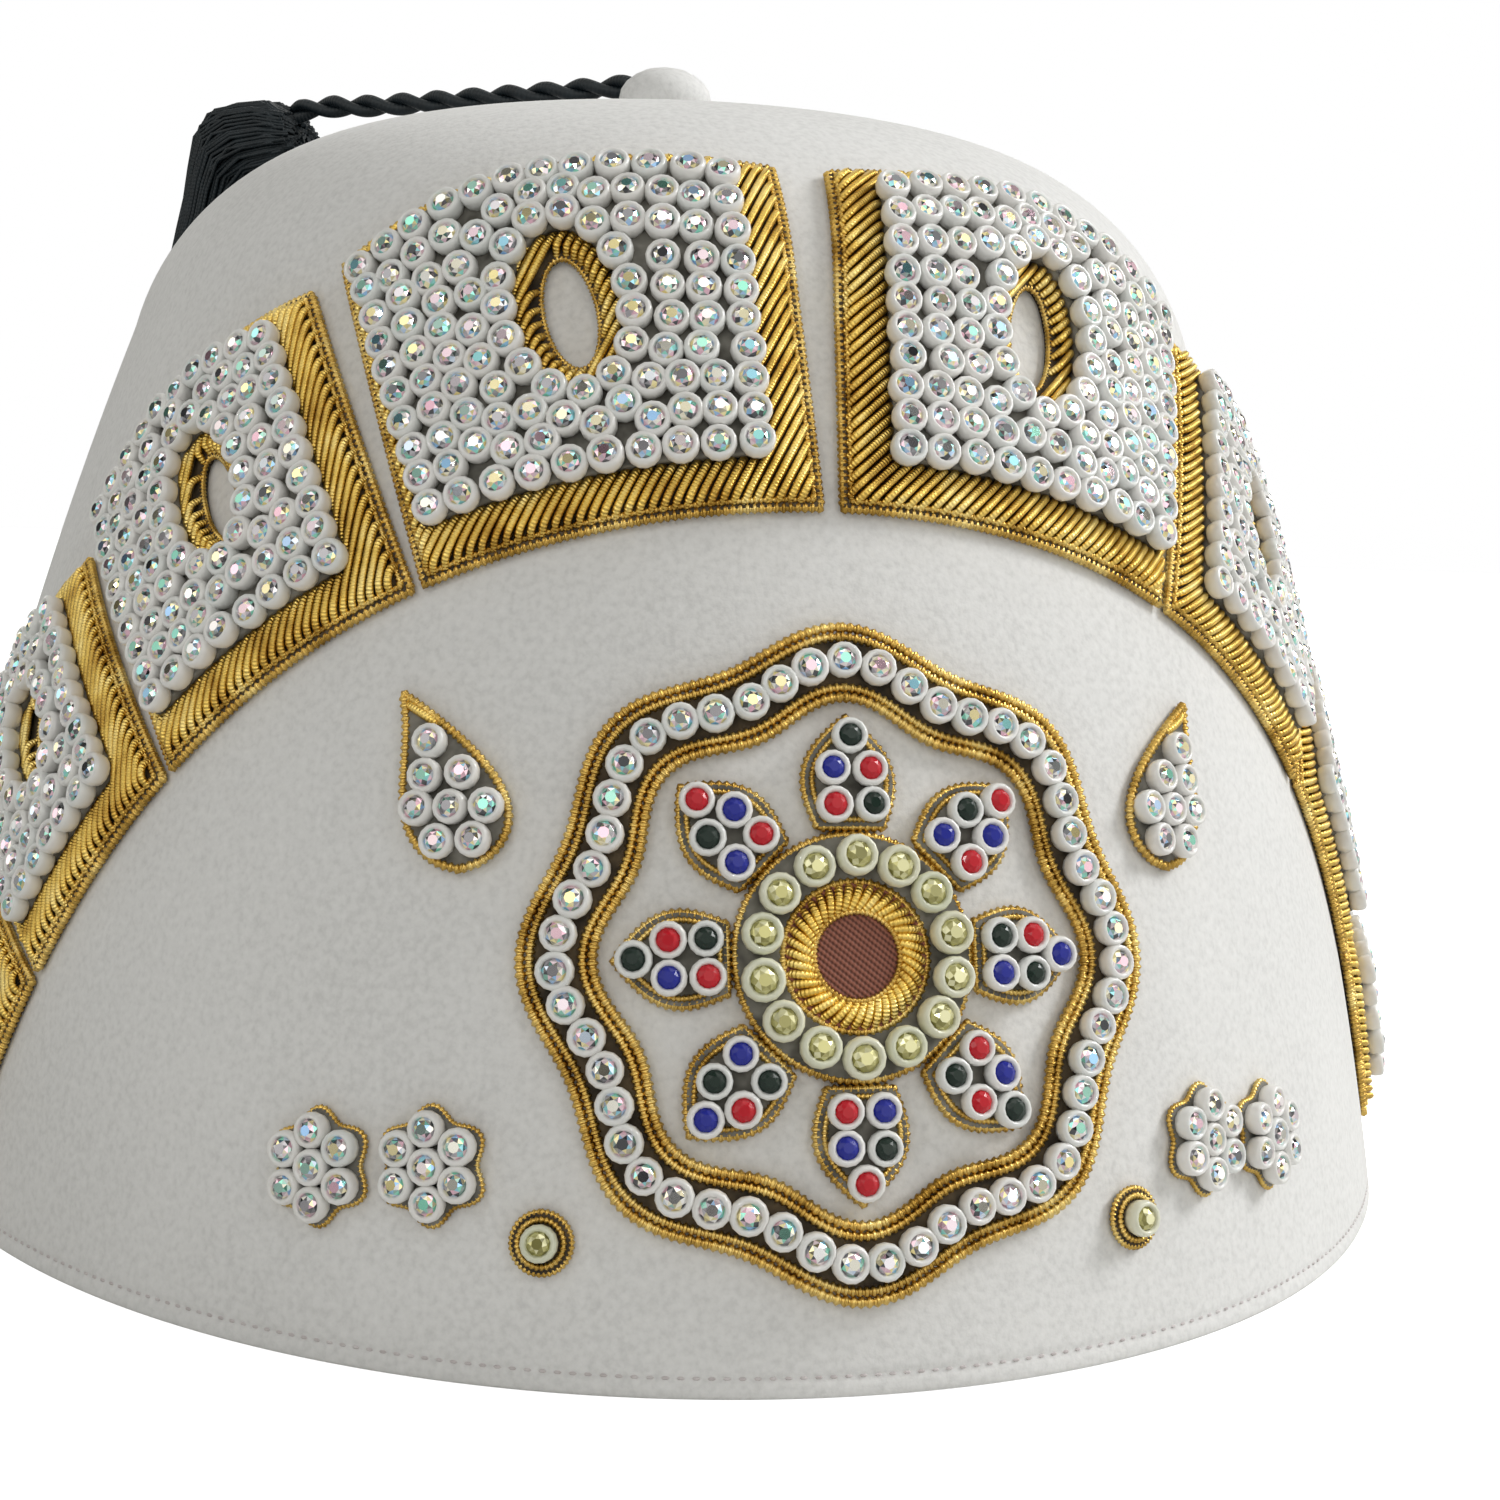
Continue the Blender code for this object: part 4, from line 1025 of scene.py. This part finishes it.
def clear_of(point, outline):
    """The distance from a point to an outline, less than nothing inside it."""
    starts, ends = outline, np.roll(outline, -1, axis=0)
    line = ends - starts
    t = np.clip(np.sum((point - starts) * line, axis=1) / np.sum(line * line, axis=1), 0, 1)
    nearest = np.min(np.linalg.norm(point - starts - line * t[:, None], axis=1))
    crossing = (starts[:, 1] > point[1]) != (ends[:, 1] > point[1])
    rise = np.where(line[:, 1] == 0, 1e-12, line[:, 1])
    inside = np.sum(crossing & (point[0] < starts[:, 0] + line[:, 0] * (point[1] - starts[:, 1]) / rise)) % 2
    return -nearest if inside else nearest


def eased(places, fixed):
    """Places moved apart where they crowd, apart from the first ones, which stay."""
    for _ in range(EASING_STEPS):
        away = places[:, None] - places[None]
        far = np.linalg.norm(away, axis=2) + np.eye(len(places)) * STONE_PITCH
        push = np.clip(STONE_PITCH - far, 0, None) / far
        places[fixed:] += EASING_SHARE * np.sum(away * push[:, :, None], axis=1)[fixed:]
    return places


def tile_stone_places(row, opening, side):
    """A ring of stones round the window, and rows that follow the tile's arcs in the rest."""
    ring_line = drawn_in(opening, RING_OVERLAP - STONE_HALF)
    ring = evenly(ring_line, STONE_PITCH)
    borders = BROAD_BORDER + STONE_HALF - BROAD_LAP, NARROW_BORDER + STONE_HALF + NARROW_GAP
    low, high = (tile_span(row, *borders, out)[0] for out in (0, 1))
    count = round((high - low) / STONE_PITCH)
    outer, inner = [], []
    for j in range(count + 1):
        radius, first, last = tile_span(row, *borders, j / count)
        across = round(math.radians(last - first) * radius / STONE_PITCH)
        for i in range(across + 1):
            point = tile_place(row, *borders, side, i / across, j / count) + chance.normal(0, STONE_WANDER, 2)
            if clear_of(point, ring_line) > ROW_CLEARANCE:
                (outer if i in (0, across) or j in (0, count) else inner).append(point)
    fixed = len(ring) + len(outer)
    places = eased(np.array([*ring, *outer, *inner]), fixed)
    field = tile_outline(row, *borders, side)
    lines = [np.arange(low, high, GAP_GRID) for low, high in zip(field.min(axis=0), field.max(axis=0))]
    spots = np.array([spot for spot in np.stack(np.meshgrid(*lines), -1).reshape(-1, 2)
                      if clear_of(spot, field) < 0 < clear_of(spot, ring_line)])
    while True:
        room = np.min(np.linalg.norm(spots[:, None] - places[None], axis=2), axis=1)
        if room.max() < ROOM_FOR_ONE:
            break
        places = eased(np.concatenate([places, spots[[room.argmax()]]]), fixed)
    return [(x, y, TILE_STONE_FOOT + chance.uniform(-0.1, 0.12)) for x, y in places]


def build_tile(label, row, side, seed):
    """One tile: padding, stones in rows, slanted purl round them and the window, and beaded wire at edges."""
    node = "arch_tile_" + label
    outline = tile_outline(row, 0.0, 0.0, side)
    field = tile_outline(row, BROAD_BORDER, NARROW_BORDER, side)
    window, opening = leaf_outline(row, 0.0, side), leaf_outline(row, WINDOW_BORDER, side)
    gold(node + "_padding", [
        plate(node + "_base", [outline, window], BORDER_PAD, PADDING_AND_PAINTED_SHADE),
        plate(node + "_field", [drawn_in(field, FIELD_LAP), opening], FIELD_PAD, STONE_GROUND_AND_PAINTED_SHADE, BORDER_PAD - 0.2),
    ], node)
    set_stones(node + "_stones", tile_stone_places(row, opening, side), "crystal", size=1.04, seed=seed)
    heading = PURL_HEADING - math.radians((row[0] + row[1]) / 2) * side
    edges = [drawn_in(line, inset) for line, inset in zip((outline, field, opening, window), PURL_INSETS)]
    gold(node + "_gold", [
        purls(node + "_ribs", [purl_line(start, end) for start, end in hatched(edges, heading)]),
        pearl_edge(node + "_edge", outline),
        fine_edge(node + "_fine_edge", drawn_in(outline, FINE_INSET), 1.0),
        fine_edge(node + "_window_edge", window, 0.7),
    ])


# The medallion and the small motifs

def round_places(count, place):
    return np.array([place(TURN * i / count) for i in range(count)])


def polar(radius, turn, centre=MEDALLION):
    return (centre[0] + radius * math.sin(turn), centre[1] + radius * math.cos(turn))


def circle(radius, centre=MEDALLION, count=CIRCLE_POINTS):
    return round_places(count, lambda turn: polar(radius, turn, centre))


def wreath_line(count, offset=0.0):
    """The wreath's lobed round, moved outwards by an offset."""
    return round_places(count, lambda turn: polar(
        WREATH_RADIUS + WREATH_LOBE_DEPTH * math.cos(WREATH_LOBES * turn) + offset, turn))


def build_wreath():
    """A row of stones between two pairs of beaded wires."""
    band = [wreath_line(WREATH_PAD_POINTS, offset) for offset in (WREATH_PAD_HALF, -WREATH_PAD_HALF)]
    padding = plate("wreath_padding", band, WREATH_PAD_TOP, PADDING_AND_PAINTED_SHADE, WREATH_PAD_LOW)
    fit(padding, "gold_thread", "wreath_stone_row")
    middle = evenly(wreath_line(WREATH_ROW_POINTS), STONE_PITCH)
    set_stones("wreath_stones", [(x, y, LOW_STONE_FOOT) for x, y in middle], "crystal", size=1.03,
               seed=WREATH_SEED)
    for name, sign in (("outer", 1), ("inner", -1)):
        wires = []
        for off, half, pitch in WREATH_WIRES:
            line = wreath_line(WREATH_WIRE_POINTS, sign * (WREATH_CORD_OFFSET + off))
            wires.append(pearl_edge(f"wreath_{name}_{half}", line, WREATH_WIRE_LIFT + half / 2, half, pitch))
        gold(f"wreath_{name}_wires", wires, f"wreath_cord_{name}")


def petal_outline(turn):
    right = []
    for t in np.linspace(0, 1, PETAL_STEPS + 1):
        swell = math.sin(math.pi * min(t / PETAL_SHOULDER, 1))
        width = PETAL_HALF_WIDTH * (PETAL_FOOT + (1 - PETAL_FOOT) * swell) * (1 - t ** PETAL_POINT)
        right.append((width, PETAL_INNER + (PETAL_OUTER - PETAL_INNER) * t))
    return swung(right + [(-x, y) for x, y in right[-2::-1]], turn, MEDALLION)


def build_petals():
    """Eight petals of five stones each, whose colours take turns."""
    pads, places, glints, edges = [], [], [], []
    for k in range(PETALS):
        turn = TURN * k / PETALS
        outline = petal_outline(turn)
        pads.append(plate(f"petal_pad_{k}", [outline], HIGH_PAD_TOP, STONE_GROUND_AND_PAINTED_SHADE))
        edges.append(pearl_edge(f"petal_edge_{k}", outline))
        edges.append(fine_edge(f"petal_fine_{k}", drawn_in(outline, PETAL_FINE_INSET), PETAL_FINE_LIFT))
        stones = swung([(across, far) for far, across in PETAL_STONES], turn, MEDALLION)
        places.extend((x, y, PAD_STONE_FOOT) for x, y in stones)
        glints.extend((RED, BLUE, GREEN)[(i * 2 + k) % 3] for i in range(len(PETAL_STONES)))
    gold("petal_padding", pads, *(f"petal_{k + 1}" for k in range(PETALS)))
    set_stones("petal_stones", places, "coloured_stone", glints, seed=PETAL_SEED)
    gold("petal_gold", edges)


def build_rosette():
    """A ring of pale yellow stones round a twill middle with gold rays."""
    band = [circle(RING_OUTER), circle(RING_INNER)]
    pad("ring_padding", band, HIGH_PAD_TOP, STONE_GROUND_AND_PAINTED_SHADE, "rosette_ring")
    places = [(x, y, PAD_STONE_FOOT) for x, y in circle(RING_STONE_RADIUS, count=RING_STONES)]
    set_stones("ring_stones", places, "yellow_stone", size=1.16, seed=RING_SEED, cup=AMBER_CUP)
    fit(plate("twill_middle", [circle(HUB_RADIUS)], TWILL_TOP, TWILL), "brown_twill", "rosette_hub")
    rays = [purl_line(polar(TWILL_RADIUS, turn), polar(HUB_RADIUS - 0.1, turn + RAY_LEAN), 0.7, 0.75)
            for turn in np.linspace(0, TURN, HUB_RAYS, endpoint=False)]
    gold("rosette_gold", [
        purls("hub_rays", rays),
        pearl_edge("ring_edge", circle(RING_OUTER + 0.1)),
        pearl_edge("hub_edge", circle(HUB_RADIUS + 0.15), 0.75),
        fine_edge("twill_edge", circle(TWILL_RADIUS), 1.2),
    ])


def boteh_middle(up):
    """The drop's middle line at a share of its height, which bends outwards."""
    return BOTEH_FOOT[0] + BOTEH_BEND * up ** BOTEH_CURL


def build_boteh(label, side, seed):
    """A curved drop of stones, with purl in its thin tip."""
    node = "boteh_" + label
    left, right = [], []
    for t in np.linspace(0, 1, BOTEH_STEPS + 1):
        half = BOTEH_HALF_WIDTH * math.sin(math.pi * t ** BOTEH_FULLNESS)
        for line, edge in ((left, -half), (right, half)):
            line.append((side * (boteh_middle(t) + edge), BOTEH_FOOT[1] + BOTEH_HEIGHT * t))
    outline = np.array(right + left[-2:0:-1])
    pad(node + "_padding", [outline], LOW_PAD_TOP, STONE_GROUND_AND_PAINTED_SHADE, node)
    places = [(side * (boteh_middle(up / BOTEH_HEIGHT) + across), BOTEH_FOOT[1] + up, LOW_STONE_FOOT)
              for up, across in BOTEH_STONES]
    set_stones(node + "_stones", places, "crystal", seed=seed)
    ribs = [purl_line(start, end, 0.5, 0.5) for start, end in hatched([drawn_in(outline, 0.3)], side * 0.6)
            if min(start[1], end[1]) > BOTEH_FOOT[1] + BOTEH_TIP]
    gold(node + "_gold", [pearl_edge(node + "_edge", outline), purls(node + "_ribs", ribs)])


def build_floret(label, number, centre, seed):
    """Seven stones on a lobed pad."""
    node = f"floret_{label}_{number}"
    outline = round_places(FLORET_POINTS, lambda turn: polar(
        FLORET_RADIUS - FLORET_LOBE + FLORET_LOBE * math.cos(FLORET_LOBES * turn), turn, centre))
    pad(node + "_padding", [outline], LOW_PAD_TOP, STONE_GROUND_AND_PAINTED_SHADE, node)
    places = [(x, y, LOW_STONE_FOOT) for x, y in (centre, *circle(STONE_PITCH, centre, 6))]
    set_stones(node + "_stones", places, "crystal", seed=seed)
    fit(fine_edge(node + "_gold", outline, 0.45), "gold_thread")


def build_ringed_stone(label, side, seed):
    """One pale yellow stone inside two fine wires."""
    node = "ringed_stone_" + label
    centre = (side * RINGED_STONE[0], RINGED_STONE[1])
    inner, outer = (circle(radius, centre, RINGED_POINTS)
                    for radius in (RINGED_PAD_RADIUS - RINGED_WIRE_STEP, RINGED_PAD_RADIUS))
    pad(node + "_padding", [outer], LOW_PAD_TOP, PADDING_AND_PAINTED_SHADE, node)
    set_stones(node + "_stone", [(*centre, LOW_STONE_FOOT)], "yellow_stone", seed=seed, cup=AMBER_CUP)
    gold(node + "_gold", [fine_edge(node + "_inner", inner, 0.8), fine_edge(node + "_outer", outer, 0.5)])


# The studio

def place_camera():
    camera = shown("camera", bpy.data.cameras.new("camera"))
    right, up = Vector(CAMERA_RIGHT), Vector(CAMERA_UP)
    camera.matrix_world = Matrix([*zip(right, up, right.cross(up), CAMERA_PLACE), (0, 0, 0, 1)])
    camera.data.sensor_width = SENSOR_WIDTH
    camera.data.lens = LENS
    camera.data.clip_start = NEAREST
    bpy.context.scene.camera = camera


def add_lamp(name, place, aim_height, size, power):
    data = bpy.data.lights.new(name, "AREA")
    data.shape = "DISK"
    data.size, data.energy = size, power
    lamp = shown(name, data)
    lamp.location = place
    lamp.rotation_mode = "QUATERNION"
    lamp.rotation_quaternion = (Vector(place) - Vector((0.0, 0.0, aim_height))).to_track_quat("Z", "Y")


def build_world():
    """White behind the hat, an even pale light on it, and patches that stones and wire mirror."""
    world = bpy.data.worlds.new("studio")
    world.use_nodes = True
    graph = Graph(world.node_tree)
    seen = graph.node("ShaderNodeLightPath")
    mirrored = seen.beside(3)
    patches = graph.node("ShaderNodeTexNoise", values={
        "Vector": graph.node("ShaderNodeTexCoord"), "Scale": 2.6, "Detail": 1.0})
    patches = graph.node("ShaderNodeMapRange", values=[patches, 0.40, 0.60, MIRRORED_DARK, MIRRORED_LIGHT])
    background = world.node_tree.nodes["Background"].inputs
    graph.feed(background["Color"], graph.mix(seen, WARM, WHITE))
    graph.feed(background["Strength"], seen + (1 - seen) * (mirrored * patches + (1 - mirrored) * EVEN_LIGHT))
    bpy.context.scene.world = world


def build_studio():
    corners = [(x * FLOOR_HALF, y * FLOOR_HALF, 0) for x, y in ((-1, -1), (1, -1), (1, 1), (-1, 1))]
    mesh = bpy.data.meshes.new("floor")
    mesh.from_pydata(corners, [], [(0, 1, 2, 3)])
    mesh.materials.append(floor_finish())
    shown("floor", mesh)
    build_world()
    for lamp in LAMPS:
        add_lamp(*lamp)
    bpy.context.scene.view_settings.view_transform = "Standard"


place_camera()
tassel = build_tassel()
build_cord()
build_felt()
build_hem()
build_knob()
for side_name, side, first_seed in (("left", -1, 0), ("right", 1, len(TILES))):
    for number, row in enumerate(TILES, 1):
        build_tile(f"{side_name}_{number}", row, side, first_seed + number)
    build_boteh(side_name, side, first_seed + BOTEH_SEED)
    for number, (x, y) in enumerate(FLORETS, 1):
        build_floret(side_name, number, (side * x, y), first_seed + FLORET_SEED + number)
    build_ringed_stone(side_name, side, first_seed + RINGED_SEED)
build_wreath()
build_petals()
build_rosette()
for pattern in (CUP_PATTERN, STONE_PATTERN):
    bpy.data.objects.remove(pattern, do_unlink=True)
build_studio()
